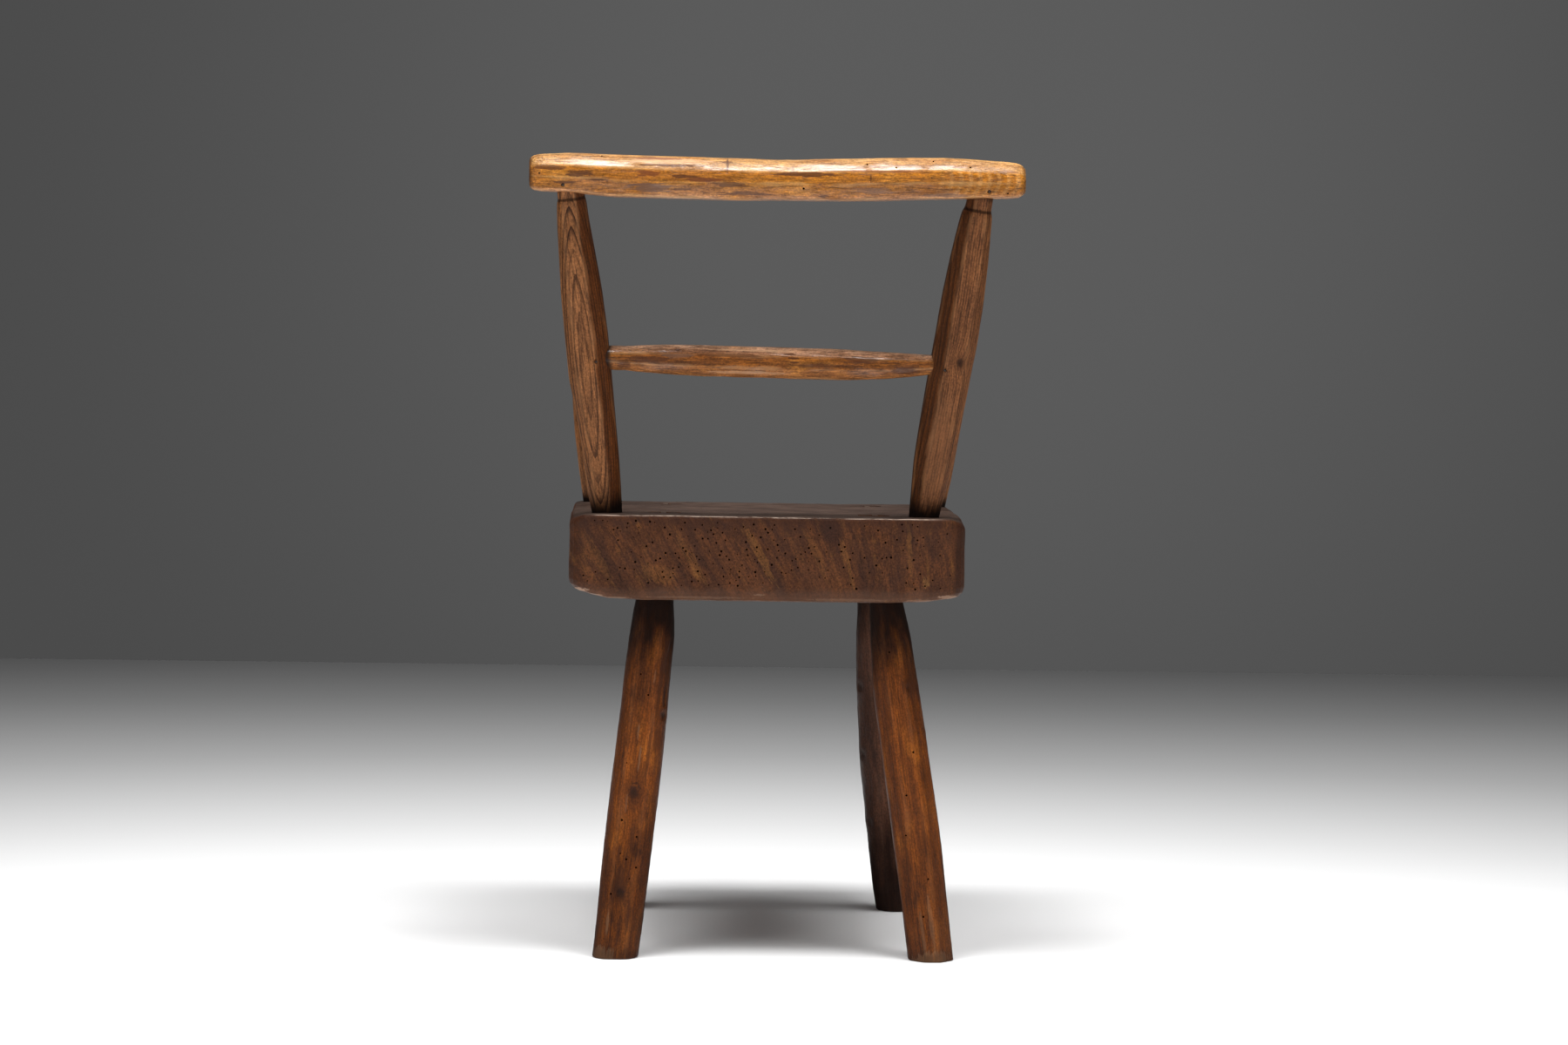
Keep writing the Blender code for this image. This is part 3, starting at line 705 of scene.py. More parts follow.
def trimLevel(piece, height, keepAbove, chamfer=0.0):
    # saw the stick level, and break the sawn edge where it wears
    side = -1 if keepAbove else 1
    openMesh(piece, "FACE")
    bpy.ops.mesh.select_all(action="SELECT")
    bpy.ops.mesh.bisect(plane_co=(0, 0, height - side * chamfer), plane_no=(0, 0, 1), use_fill=True,
                        clear_inner=keepAbove, clear_outer=not keepAbove, threshold=0.001 * mm)
    if chamfer:
        bpy.ops.mesh.extrude_region_move(TRANSFORM_OT_translate={"value": (0, 0, side * chamfer)})
        form = bmesh.from_edit_mesh(piece.data)
        rim = [v.co for v in form.verts if v.select]
        middle = sum(rim, Vector()) / len(rim)
        bpy.ops.transform.resize(value=(foot["taper"], foot["taper"], 1), center_override=middle)
    closeMesh()


print("stick tools ready")

# Woods of the chair: colours as seen, in linear values
legWood = {
    "upper": (0.22, 0.058, 0.006), "lower": (0.16, 0.038, 0.004), "dark": (0.050, 0.0135, 0.0035),
    "ring": (0.026, 0.0085, 0.0032), "pore": (0.03, 0.010, 0.004), "worn": (0.30, 0.115, 0.038),
    "grimeAndShade": (0.006, 0.002, 0.001), "dustColour": (0.16, 0.12, 0.09), "fadeFrom": (-0.5, 0.6),
    "bright": (0.32, 0.096, 0.010), "streak": 0.6, "ringStrength": 0.4,
    "poreStrength": 0.22, "wornStrength": 0.2, "dust": 0.2, "glow": 0.6, "fleck": 0.3, "blotch": 0.85,
    "cracks": 0.8, "rough": (0.52, 0.70), "polish": 0.12, "relief": 0.7, "wax": 0.0, "shine": 0.16,
    "short": 2.4, "fine": 0.34, "rubbed": (0.43, 0.57), "sideShade": 0.7, "top": (0.040, 0.026, 0.020),
}
# front legs: the leg wood made darker, partly darker wood and partly painted shade of the seat above them
frontLegDarkAndShadedWood = dict(legWood, upper=(0.115, 0.048, 0.026), lower=(0.075, 0.028, 0.014),
                    bright=(0.13, 0.052, 0.026), dark=(0.032, 0.012, 0.007), worn=(0.15, 0.075, 0.045))
postWood = {
    "upper": (0.27, 0.114, 0.044), "lower": (0.22, 0.088, 0.032), "dark": (0.115, 0.042, 0.015),
    "ring": (0.026, 0.0085, 0.003), "pore": (0.042, 0.015, 0.0055), "worn": (0.36, 0.165, 0.066),
    "grimeAndShade": (0.005, 0.002, 0.001), "dustColour": (0.16, 0.12, 0.09), "fadeFrom": (-0.3, 0.5),
    "bright": (0.34, 0.130, 0.036), "shade": (0.080, 0.019, 0.002), "streak": 0.4, "ringStrength": 0.92,
    "poreStrength": 0.85, "wornStrength": 0.3, "dust": 0.1, "glow": 0.35, "fleck": 0.3, "blotch": 0.25,
    "cracks": 0.3, "rough": (0.50, 0.68), "polish": 0.08, "relief": 0.6, "wax": 0.0, "shine": 0.14,
    "short": 1.1, "fine": 0.5, "rubbed": (0.43, 0.57),
}
ovalPostWood = dict(postWood, ringStrength=1.0, poreStrength=0.55)
darkPostWood = dict(postWood, poreStrength=0.6, upper=(0.23, 0.092, 0.035), lower=(0.17, 0.064, 0.023),
                    bright=(0.26, 0.10, 0.033), shade=(0.058, 0.016, 0.003))
railWood = {
    # upper: pale greyish colour of the rail's upward facets, partly a painted sheen
    "upper": (0.50, 0.285, 0.178), "lower": (0.275, 0.102, 0.028), "middle": (0.26, 0.082, 0.010),
    "dark": (0.12, 0.038, 0.008), "ring": (0.06, 0.02, 0.006), "pore": (0.05, 0.018, 0.006),
    "worn": (0.46, 0.235, 0.10), "grimeAndShade": (0.012, 0.004, 0.002), "dustColour": (0.3, 0.22, 0.16),
    "bright": (0.46, 0.185, 0.030), "fadeFrom": (0.45, 0.85), "streak": 0.7,
    "ringStrength": 0.4, "poreStrength": 0.45, "wornStrength": 0.45, "dust": 0.25, "glow": 0.55, "fleck": 0.5,
    "blotch": 0.55, "cracks": 0.8, "rough": (0.36, 0.54), "polish": 0.12, "relief": 0.5, "wax": 0.85,
    "shine": 0.2, "short": 2.0, "fine": 0.6, "rubbed": (0.45, 0.58),
}
crestWood = {
    "upper": (0.38, 0.195, 0.062), "lower": (0.47, 0.222, 0.098), "middle": (0.42, 0.148, 0.012),
    "dark": (0.22, 0.072, 0.012), "ring": (0.16, 0.055, 0.013), "pore": (0.12, 0.042, 0.012),
    "worn": (0.64, 0.37, 0.14), "grimeAndShade": (0.045, 0.015, 0.005), "dustColour": (0.5, 0.38, 0.27),
    "bright": (0.62, 0.265, 0.045), "fadeFrom": (-0.05, 0.45), "streak": 0.6,
    "ringStrength": 0.35, "poreStrength": 0.45, "wornStrength": 0.35, "dust": 0.1, "glow": 0.45,
    "fleck": 0.55, "blotch": 0.4, "cracks": 0.7, "rough": (0.38, 0.54), "polish": 0.15, "relief": 0.5,
    "wax": 1.0, "shine": 0.25, "short": 2.0, "fine": 0.55, "rubbed": (0.37, 0.50),
}
armWood = dict(railWood, upper=(0.30, 0.145, 0.060), lower=(0.19, 0.078, 0.028), middle=(0.24, 0.095, 0.028))

darkStain = (0.075, 0.022, 0.006)
redStain = (0.16, 0.040, 0.008)
greyStain = (0.16, 0.078, 0.045)
tornPale = (0.62, 0.36, 0.20)
wornFoot = (0.30, 0.165, 0.085)

# In the sticks' dictionaries, in mm: run is the axis that a stick follows, face the way its width is taken
# stations: place along the run, width, sideways shift; grooves: path, half width, reach, depth
# knots: place, radius; bores: place along the run, distance from the stick's middle
# patches: centre, half size, colour, strength; grimeAndShade (dirt at joints, and painted shade): place along
# the run, reach, strength
upright = {"run": 2, "face": (1, 0, 0)}
lying = {"face": (0, 0, 1), "level": False}

# Legs: splayed, thickest a third of the way up, through the seat and sawn flush; their grime under the seat
# is painted shade of the seat, and at the front right leg's foot painted shadow of the chair
straightFigure = {"slope": (0.9, 0.35, 0.0), "bow": (0.0, 0.0, 0.05), "spacing": 1.7, "waver": 3.2}
legRearLeft = {
    "node": "leg_rear_left", **upright, "level": True, "seed": 21, "chamfer": 0.52,
    "arris": 2.0, "crown": 1.06, "hewDepth": 1.5, "toolDepth": 0.8, "dentDepth": 0.45, "ringGap": 5,
    "stations": [(-10, 31.4, 0), (2, 31.4, -0.1), (40, 32.6, 0.2), (80, 33.7, 0.6), (120, 34.0, 0.9),
                 (160, 33.6, 0.9), (200, 32.4, 0.7), (230, 31.2, 0.9), (250, 27.9, 0.3), (258, 25.6, -0.2),
                 (266, 23.2, 0), (332, 22.5, 0)],
    "figure": dict(straightFigure, waver=4.2), "grimeAndShade": [(268, 92, 0.98), (0, 150, 0.45), (0, 9, 0.4)],
    "knots": [((14, -9.6, 175), 4.4), ((0.5, -16.8, 118), 5.2), ((-1.2, -16.5, 46), 4.6)],
    "grooves": [([(14.6, -8, 228), (12.1, -10.6, 215), (12.8, -10.4, 206)], 0.5, 2.6, 0.6),
                ([(13.7, -9.8, 195), (14.1, -9.6, 182)], 0.5, 2.6, 0.6),
                ([(4.5, -16.5, 121), (2.5, -16.8, 125), (-1, -16.8, 124)], 0.4, 2.2, 0.7)],
    "patches": [((13, -11, 215), (4, 9, 15), darkStain, 0.7), ((12.5, -11, 158), (3, 9, 12), darkStain, 0.7),
                ((6, -15, 132), (3, 9, 9), darkStain, 0.5), ((-2, -16, 56), (4, 9, 9), darkStain, 0.5),
                ((6.5, -16.4, 203), (0.7, 9, 6), wornFoot, 0.35),
                ((-1, -16.7, 162), (0.6, 9, 7), wornFoot, 0.25), ((-4, -15, 110), (0.7, 9, 8), wornFoot, 0.2),
                ((-9, -10, 0), (11, 12, 7), wornFoot, 0.5), ((11, -13, 192), (1.6, 9, 30), darkStain, 0.75),
                ((8, -15, 148), (1.4, 9, 22), darkStain, 0.7), ((-7, -13, 186), (1.3, 9, 10), darkStain, 0.6),
                ((3, -16, 84), (1.5, 9, 12), darkStain, 0.6), ((-5, -15, 74), (1.2, 9, 8), darkStain, 0.7),
                ((6, -15, 30), (1.6, 9, 14), darkStain, 0.6), ((-8, -13, 24), (1.2, 9, 10), wornFoot, 0.4),
                ((2, -16.6, 142), (0.8, 9, 9), wornFoot, 0.3)],
    "bores": [(76, -4.4), (72, 0.4), (190, 3), (100, -6), (58, 4), (88, 6), (141, -7), (205, -4), (47, -8),
              (66, 8)],
}
legRearRight = {
    "node": "leg_rear_right", "short": 1.3, **upright, "level": True, "seed": 34, "chamfer": 0.62,
    "arris": 1.5, "hewDepth": 1.3, "toolDepth": 0.6, "dentDepth": 0.35, "ringGap": 5,
    "stations": [(-10, 32.3, 0), (2, 32.3, 0.1), (40, 32.4, 0.9), (80, 33.5, 1.2), (120, 33.3, 0.8),
                 (160, 32.8, 0.6), (200, 32.4, 0), (230, 29.4, 0.8), (250, 25.5, 0.8), (258, 23.6, 0.8),
                 (266, 22.8, 0), (332, 22.5, 0)],
    "figure": straightFigure, "grimeAndShade": [(268, 90, 0.98), (0, 110, 0.3), (0, 9, 0.4)],
    "knots": [((9, -15, 194.5), 3.4)],
    "patches": [((3, -16, 26), (1.8, 9, 22), wornFoot, 0.25), ((-4, -16, 20), (1.4, 9, 16), wornFoot, 0.25),
                ((0, -14, 0), (16, 12, 6), wornFoot, 0.45),
                ((9, -13, 196), (7, 9, 6), darkStain, 0.5), ((-3, -16, 150), (1.2, 9, 26), darkStain, 0.6),
                ((6, -15, 92), (1.3, 9, 24), darkStain, 0.55), ((-8, -14, 70), (1.2, 9, 18), darkStain, 0.6)],
    "bores": [(223, -2), (151, 6), (120, -3), (60, 5), (91, -7), (33, -2)],
}
legFrontLeft = {
    "node": "leg_front_left", **upright, "level": True, "seed": 47, "chamfer": 0.55,
    "arris": 1.8, "crown": 1.06, "hewDepth": 1.7,
    "stations": [(-10, 31.5, 0), (5, 31.6, 0), (45, 33.2, -0.5), (95, 33.8, -0.4), (150, 33.4, 0.3),
                 (200, 32.2, 0.2), (232, 29.6, 0), (254, 26.2, 0), (266, 23.0, 0), (332, 22.5, 0)],
    "figure": straightFigure, "grimeAndShade": [(268, 50, 0.85), (0, 9, 0.4)],
    "knots": [((-6, 14, 140), 3.8)],
}
legFrontRight = {
    "node": "leg_front_right", **upright, "level": True, "seed": 58, "chamfer": 0.55,
    "arris": 1.8, "crown": 1.06, "hewDepth": 1.9, "toolDepth": 0.8, "dentDepth": 0.45, "ringGap": 6,
    "stations": [(-10, 31.8, 0), (2, 32.0, -0.3), (25, 33.6, -1.0), (54, 34.6, -1.5), (85, 35.3, -1.8),
                 (115, 35.8, -2.1), (154, 34.8, -1.5), (183, 33.6, -0.8), (222, 30.4, 0.2), (244, 26.2, 0.5),
                 (258, 24.6, 0.2), (266, 23.0, 0), (332, 22.5, 0)],
    "figure": straightFigure, "grimeAndShade": [(268, 60, 0.85), (0, 105, 0.85)],
    "knots": [((-15, -8, 182), 5.0), ((-15.5, -7, 128), 5.4), ((-15, -7, 74), 5.0)],
}
legs = [legRearLeft, legRearRight, legFrontLeft, legFrontRight]

# Posts: barrel-shaped, with a shouldered neck under the crest
postRearLeft = {
    "node": "post_rear_left", "wood": ovalPostWood, "shadeSide": 1, **upright, "level": False, "seed": 63,
    "arris": 1.2, "hewDepth": 0.8, "uneven": 0.05, "crown": 1.03,
    "arrises": [(1, 0.64), (0.64, 1), (-0.64, 1), (-1, 0.64), (-1, -0.60), (-0.66, -1), (0.40, -1),
                (1, -0.30)],
    "stations": [(284, 20.5, 0), (318, 21.0, 0.2), (335, 23.5, -0.1), (360, 24.8, 0.3), (390, 26.7, 0.1),
                 (420, 30.3, -1.0), (450, 30.2, -0.6), (480, 29.0, -0.6), (510, 25.2, -0.9),
                 (530, 22.2, -1.1), (545.6, 20.4, -0.6), (547.2, 18.4, -0.4), (549.2, 19.0, -0.3),
                 (566, 18.4, 0)],
    "figure": {"slope": (0.0, 0.12, 0.0), "bow": (34.0, 0.0, 0.0), "close": 1.05, "power": 0.82,
               "spacing": 3.1, "waver": 2.0, "sharp": 0.42, "middle": 430, "offset": -3.0, "tilt": 0.004},
    "grimeAndShade": [(319, 24, 1.0), (547.5, 1.7, 0.75), (556, 4, 0.5)],
}
postRearRight = {
    "node": "post_rear_right", "wood": darkPostWood, "short": 0.75, "shadeSide": -1, **upright,
    "level": False, "seed": 71, "arris": 1.2, "hewDepth": 0.8, "uneven": 0.05,
    "arrises": [(1, 0.6), (0.6, 1), (-0.6, 1), (-1, 0.6), (-1, -0.28), (-0.38, -1), (0.6, -1), (1, -0.54)],
    "stations": [(284, 20.5, 0), (318, 21.0, -0.4), (335, 23.4, -0.5), (360, 27.5, -0.5), (390, 28.9, -0.2),
                 (420, 29.7, 0), (450, 30.0, 0.5), (480, 29.4, 0.3), (510, 26.6, -0.1), (530, 23.8, -0.3),
                 (541.8, 21.6, -0.2), (543.6, 18.8, -0.1), (548, 18.4, 0.1), (566, 17.8, 0)],
    "figure": {"slope": (1.0, 0.25, 0.0), "bow": (0.0, 0.0, 0.10), "spacing": 1.9, "waver": 2.6,
               "sharp": 0.5},
    "grimeAndShade": [(319, 24, 1.0), (543.8, 1.8, 0.75), (554, 4, 0.5)],
    "knots": [((5, -15.5, 437), 3.8)],
    "patches": [((0, -14, 372), (9, 12, 44), (0.23, 0.100, 0.044), 0.3)],
}
postFrontLeft = {
    "node": "post_front_left", **upright, "level": False, "seed": 85, "chamfer": 0.42,
    "arris": 1.4, "hewDepth": 0.9,
    "stations": [(287, 20.4, 0), (318, 20.9, 0), (345, 24.6, 0.2), (378, 27.6, 0.3), (405, 27.0, 0),
                 (428, 22.8, 0), (440, 19.4, 0), (470, 18.0, 0)],
    "figure": {"slope": (0.3, 1.0, 0.0), "bow": (24.0, 0.0, 0.5), "spacing": 1.05, "waver": 2.4},
    "grimeAndShade": [(321, 11, 1.0), (440, 4, 0.7)],
}
postFrontRight = dict(postFrontLeft, node="post_front_right", seed=96, chamfer=0.46,
                      figure={"slope": (1.0, 0.3, 0.0), "bow": (0.0, 0.0, 0.12), "spacing": 1.2,
                              "waver": 2.2})
posts = [postRearLeft, postRearRight, postFrontLeft, postFrontRight]

# Crest: a hewn stick with three long flats towards the back, rounded at both ends
crestRail = {
    "node": "crest_rail", "run": 0, **lying, "seed": 107,
    "arris": 1.6, "hewDepth": 1.0, "uneven": 0.04, "hewSize": 22, "ringGap": 7, "endRound": 1.1,
    "arrises": [(1, 0.34), (0.30, 1), (-0.24, 1), (-1, 0.76), (-1, -0.72), (-0.3, -1), (0.32, -1),
                (1, -0.36)],
    "stations": [(-177, 19.0, 0.7), (-175.8, 22.6, 0.8), (-173, 25.0, 0.9), (-168, 26.3, 1.0),
                 (-150, 27.7, 1.3), (-120, 29.5, -0.2), (-80, 29.9, -1.0), (-40, 29.9, -1.5), (0, 28.8, -1.6),
                 (40, 29.5, -0.9), (80, 30.0, 0.1), (120, 29.4, 1.4), (150, 26.6, 1.1), (166, 25.4, 0.9),
                 (172, 24.2, 0.8), (175.2, 21.4, 0.7), (176.4, 17.5, 0.6)],
    "figure": {"slope": (0.5, 0.8, 0.0), "bow": (0.0, 0.0, 0.06), "spacing": 2.1, "waver": 4.5},
    "grimeAndShade": [(-178.5, 6, 0.9), (178, 5, 0.6)], "curl": (106, 128, 6.8),
    "waxEnds": [(-168, -128), (152, 122)],
    "knots": [((-5, 13, -121), 1.9)],
    "patches": [
        ((4, 13, -163), (2.0, 9, 13), darkStain, 0.8), ((0, 14, -141), (2.6, 9, 11), darkStain, 0.8),
        ((1, 14, -92), (2.2, 9, 10), redStain, 0.8), ((-1, 14, -66), (1.3, 9, 10), darkStain, 0.8),
        ((-3, 14, -52), (1.7, 9, 12), redStain, 0.85), ((-6, 13, -34), (1.8, 9, 13), darkStain, 0.7),
        ((-9, 11, -91), (3.6, 9, 18), greyStain, 0.85), ((2, 14, 19), (2.0, 9, 23), darkStain, 0.85),
        ((-12, 8, -27), (1.7, 8, 29), darkStain, 0.7), ((10, 9, -79), (2.6, 8, 31), tornPale, 0.5),
        ((7, 12, -76), (1.1, 8, 26), darkStain, 0.8), ((12, 6, -84), (1.0, 8, 17), redStain, 0.7),
        ((-9, 11, 68), (2.5, 9, 16), greyStain, 0.55), ((5, 13, 68), (0.9, 8, 34), redStain, 0.7),
        ((8, 11, -36), (7.5, 9, 0.9), darkStain, 0.8), ((10, 9, -36), (0.9, 9, 5), darkStain, 0.8),
        ((0, 14, 66), (3.5, 8, 0.5), darkStain, 0.8), ((-13, 6, 33), (1.6, 8, 5), darkStain, 0.8),
        ((-6, 13, -153), (0.9, 9, 9), darkStain, 0.8), ((-10, 10, -70), (1.2, 9, 9), darkStain, 0.7),
        ((-4, 14, -127), (0.8, 8, 6), darkStain, 0.8), ((-11, 9, 118), (1.5, 9, 20), greyStain, 0.6),
    ],
    "bores": [(63.5, 10), (84, 8), (110.7, 13), (137, 9), (109.4, 1), (18.3, -8), (164, -9), (-169.6, 0),
              (-125.6, 13)],
}
midRail = {
    "node": "mid_rail", "run": 0, **lying, "seed": 118, "chamfer": 0.56,
    "arris": 1.2, "hewDepth": 0.9, "uneven": 0.06, "ringGap": 7,
    "stations": [(-134, 14.6, 0.6), (-119, 16.8, 0.5), (-113, 17.8, 0.4), (-108, 17.2, 0.4),
                 (-100, 18.7, 0.2), (-80, 20.6, 0.1), (-50, 21.8, -0.2), (0, 22.3, -0.4), (50, 22.3, -0.6),
                 (80, 19.6, -0.5), (100, 16.5, 0.2), (112, 14.1, 0.8), (128, 13.0, 0.8)],
    "figure": {"slope": (0.7, 0.6, 0.0), "bow": (0.0, 0.0, 0.08), "spacing": 1.5, "waver": 3.0},
    "grimeAndShade": [(-121, 5, 0.95), (118, 6, 0.95)],
    "knots": [((7, 8, -70), 2.2)],
    "patches": [((6, 9, 11), (0.7, 8, 4.5), darkStain, 0.9), ((3, 10, 13), (0.7, 8, 4.5), darkStain, 0.9),
                ((0, 11, 14), (0.7, 8, 4.0), darkStain, 0.9), ((3, 10, 62), (3.0, 8, 14), darkStain, 0.7),
                ((-4, 9, 94), (3.5, 8, 9), darkStain, 0.7), ((0, 10, -92), (2.2, 8, 16), darkStain, 0.7),
                ((3, 10, -70), (1.8, 8, 12), greyStain, 0.7), ((-5, 9, -108), (3.0, 8, 5), darkStain, 0.7),
                ((4, 10, -30), (1.4, 8, 22), darkStain, 0.6), ((8, 7, -12), (0.8, 8, 34), tornPale, 0.6),
                ((-2, 11, 30), (1.6, 8, 18), darkStain, 0.55), ((-8, 7, -20), (1.2, 8, 30), tornPale, 0.35)],
}
armLeft = {
    "node": "arm_left", "run": 1, **lying, "seed": 129, "chamfer": 0.58,
    "arris": 1.6, "hewDepth": 1.1, "uneven": 0.06,
    "stations": [(-130, 14.5, 0), (-112, 16.6, 0), (-98, 18.4, 0), (-70, 21.8, 0.3), (-30, 24.6, 0.4),
                 (10, 25.4, 0), (60, 25.8, -0.3), (110, 25.6, -0.2), (140, 24.2, 0), (149, 22.0, 0),
                 (152, 18.4, 0)],
    "figure": {"slope": (0.6, 0.7, 0.0), "bow": (0.0, 0.0, 0.08), "spacing": 1.6, "waver": 3.2},
    "grimeAndShade": [(-112, 10, 0.9)],
}
armRight = dict(armLeft, node="arm_right", seed=140,
                figure={"slope": (0.2, 1.0, 0.0), "bow": (20.0, 0.0, 0.2), "spacing": 1.4, "waver": 3.0})

finished = {}


def buildStick(part, wood, slotName):
    stick, start, turn, length = shapeStick(part)
    material = stickWood(part, wood, start, turn, length)
    finished[part["node"]] = (stick, material, slotName, start, turn)
    print(part["node"], "shaped with", len(stick.data.polygons), "faces")


for leg in legs:
    buildStick(leg, frontLegDarkAndShadedWood if "front" in leg["node"] else legWood, "leg_wood")
for post in posts:
    buildStick(post, post.get("wood", postWood), "post_wood")
buildStick(crestRail, crestWood, "crest_wood")
buildStick(midRail, railWood, "rail_wood")
for arm in (armLeft, armRight):
    buildStick(arm, armWood, "arm_wood")

# Seat: one thick plank, rounded in plan, its lower ends worn away
seatSlab = {
    "rearWidth": 0.286, "cornerRound": 16, "topRound": 3.2, "lowRound": 7.0,
    "reliefWidth": 34, "reliefLeft": 8, "reliefRight": 5, "gridStep": 27, "fallWidth": 14, "fall": 7.0,
    "hewDepth": 1.3, "toolDepth": 0.45, "socketGap": 0.3, "tenonProud": 0.1, "smoothTo": 38,
}


def shapeSeat():
    spec = seatSlab
    middle = (seatLow + seatHigh) / 2
    size = seatHigh - seatLow
    bpy.ops.object.select_all(action="DESELECT")
    bpy.ops.mesh.primitive_cube_add(size=1, location=middle, scale=size)
    seat = bpy.context.object
    settle()
    openMesh(seat)
    selectWhere(seat, "verts", lambda v: v.co.y < middle.y)
    bpy.ops.transform.resize(value=(spec["rearWidth"] / size.x, 1, 1), center_override=middle)
    bpy.ops.mesh.select_mode(type="EDGE")
    selectWhere(seat, "edges", lambda e: abs(e.verts[0].co.z - e.verts[1].co.z) > size.z / 2)
    bpy.ops.mesh.bevel(offset=spec["cornerRound"] * mm, segments=5, affect="EDGES")

    def rimEdge(edge, way):
        faces = [f.normal.z * way for f in edge.link_faces]
        return len(faces) == 2 and max(faces) > 0.9 and min(faces) < 0.3

    for way, width, rounds in ((1, spec["topRound"], 4), (-1, spec["lowRound"], 3)):
        selectWhere(seat, "edges", lambda e: rimEdge(e, way))
        bpy.ops.mesh.bevel(offset=width * mm, segments=rounds, affect="EDGES")

    # grid over the whole slab, so that it can take an uneven surface
    left, right = seatLow.x, seatHigh.x
    relief = spec["reliefWidth"] * mm
    step = spec["gridStep"] * mm
    inner = right - left - 2 * relief
    columns = math.ceil(inner / step)
    fall = spec["fallWidth"] * mm
    cutsX = [left + relief / 2, right - relief / 2]
    rearLeft, rearRight = middle.x - spec["rearWidth"] / 2, middle.x + spec["rearWidth"] / 2
    for share in (0.15, 0.4, 0.7, 1.0):
        cutsX += [rearLeft + fall * share, rearRight - fall * share]
    cutsX += [left + relief + inner * i / columns for i in range(columns + 1)]
    rows = math.ceil(size.y / step)
    cutsY = [seatLow.y + size.y * (i + 0.5) / rows for i in range(rows)]
    cutsZ = [seatLow.z + size.z * share for share in (0.38, 0.67)]
    for axis, cuts in enumerate((cutsX, cutsY, cutsZ)):
        normal = tuple(1.0 if axis == i else 0.0 for i in range(3))
        for cut in cuts:
            bpy.ops.mesh.select_all(action="SELECT")
            bpy.ops.mesh.bisect(plane_co=tuple(cut * n for n in normal), plane_no=normal)
    bpy.ops.mesh.select_mode(type="VERT")
    lowBand = seatLow.z + spec["lowRound"] * mm * 1.05
    topBand = seatTop - spec["topRound"] * mm * 1.05
    form = bmesh.from_edit_mesh(seat.data)
    rises = {}
    for vert in form.verts:
        share = (vert.co.y - seatLow.y) / size.y
        half = (spec["rearWidth"] * (1 - share) + size.x * share) / 2
        fromLeft, fromRight = half + vert.co.x - middle.x, half - vert.co.x + middle.x
        rise = 0.0
        if vert.co.z < lowBand:
            rise += max(0.0, 1 - fromLeft / relief) * spec["reliefLeft"] * mm
            rise += max(0.0, 1 - fromRight / relief) * spec["reliefRight"] * mm
        if vert.co.z > topBand:
            nearRear = max(0.15, 1 - (vert.co.y - seatLow.y) / (70 * mm))
            rise -= max(0.0, 1 - min(fromLeft, fromRight) / fall) ** 2 * spec["fall"] * nearRear * mm
        rises.setdefault(round(rise, 5), set()).add(vert.index)
    for rise, verts in rises.items():
        if rise:
            selectWhere(seat, "verts", lambda v: v.index in verts)
            bpy.ops.transform.translate(value=(0, 0, rise))
    closeMesh()
    subdivide(seat, 3, simple=True)
    roughen(seat, 52 * mm, spec["hewDepth"] * mm, (1, 1.6, 1), 151)
    roughen(seat, 13 * mm, spec["toolDepth"] * mm, (1, 1.8, 1), 152)
    return seat


seat = shapeSeat()
print("seat shaped with", len(seat.data.polygons), "faces")

# Seat's wood: end grain at front and back, streaks from back to front on top, dust over all
seatWood = {
    "red": (0.092, 0.030, 0.0090), "dark": (0.030, 0.0102, 0.005), "gold": (0.20, 0.080, 0.018),
    "straw": (0.24, 0.12, 0.035), "pale": (0.20, 0.135, 0.105), "top": (0.036, 0.023, 0.018),
    # arris: the bright line along the top rear edge, worn wood and a painted highlight
    "grey": (0.105, 0.050, 0.028), "arris": (0.44, 0.34, 0.27), "bare": (0.40, 0.25, 0.17), "shine": 0.16,
    "crack": (0.010, 0.004, 0.002), "soil": (0.014, 0.0075, 0.005),
    # lean of the bands from the middle to bandTurn, and their stretch in depth and height
    "lean": (0.577, 0.06), "bandTurn": 0.12, "drawnOut": (0.12, 0.22),
    # lighter and darker streaks: place from the middle, depth below the top, half width, half height, in mm
    "streaks": [(-6, 27, 4, 20, "gold", 0.40), (-56, 30, 4, 19, "gold", 0.20), (-78, 42, 14, 7, "gold", 0.25),
                (-122, 32, 5, 19, "gold", 0.15), (36, 28, 4, 19, "gold", 0.15), (46, 10, 9, 9, "dark", 0.6),
                (114, 46, 2.5, 4, "straw", 0.3), (120, 18, 5, 12, "dark", 0.5), (-20, 14, 6, 10, "dark", 0.4),
                (14, 24, 4, 18, "dark", 0.45), (72, 26, 3, 22, "dark", 0.5), (94, 30, 3, 20, "dark", 0.4),
                (-96, 14, 9, 9, "dark", 0.45), (-36, 34, 4, 14, "dark", 0.4), (58, 34, 2.5, 18, "gold", 0.3),
                (102, 22, 2.5, 20, "gold", 0.3), (-140, 22, 6, 14, "dark", 0.4)],
    # bare wood at the lower corners and edge: centre from the rear lower middle and half size, in mm
    "chips": [((-137, 4, 7), (8, 16, 1.5), 0.75), ((-126, 3, 3.0), (9, 14, 1.1), 0.45),
              ((-110, 3, 1.5), (12, 14, 0.8), 0.25), ((131, 3, 5), (8, 14, 1.4), 0.45),
              ((112, 3, 2), (12, 12, 1.0), 0.22), ((-6, 2, 5), (4, 12, 0.7), 0.2),
              ((60, 2, 2), (30, 12, 1.0), 0.12), ((-50, 2, 2.5), (34, 12, 1.0), 0.1)],
}


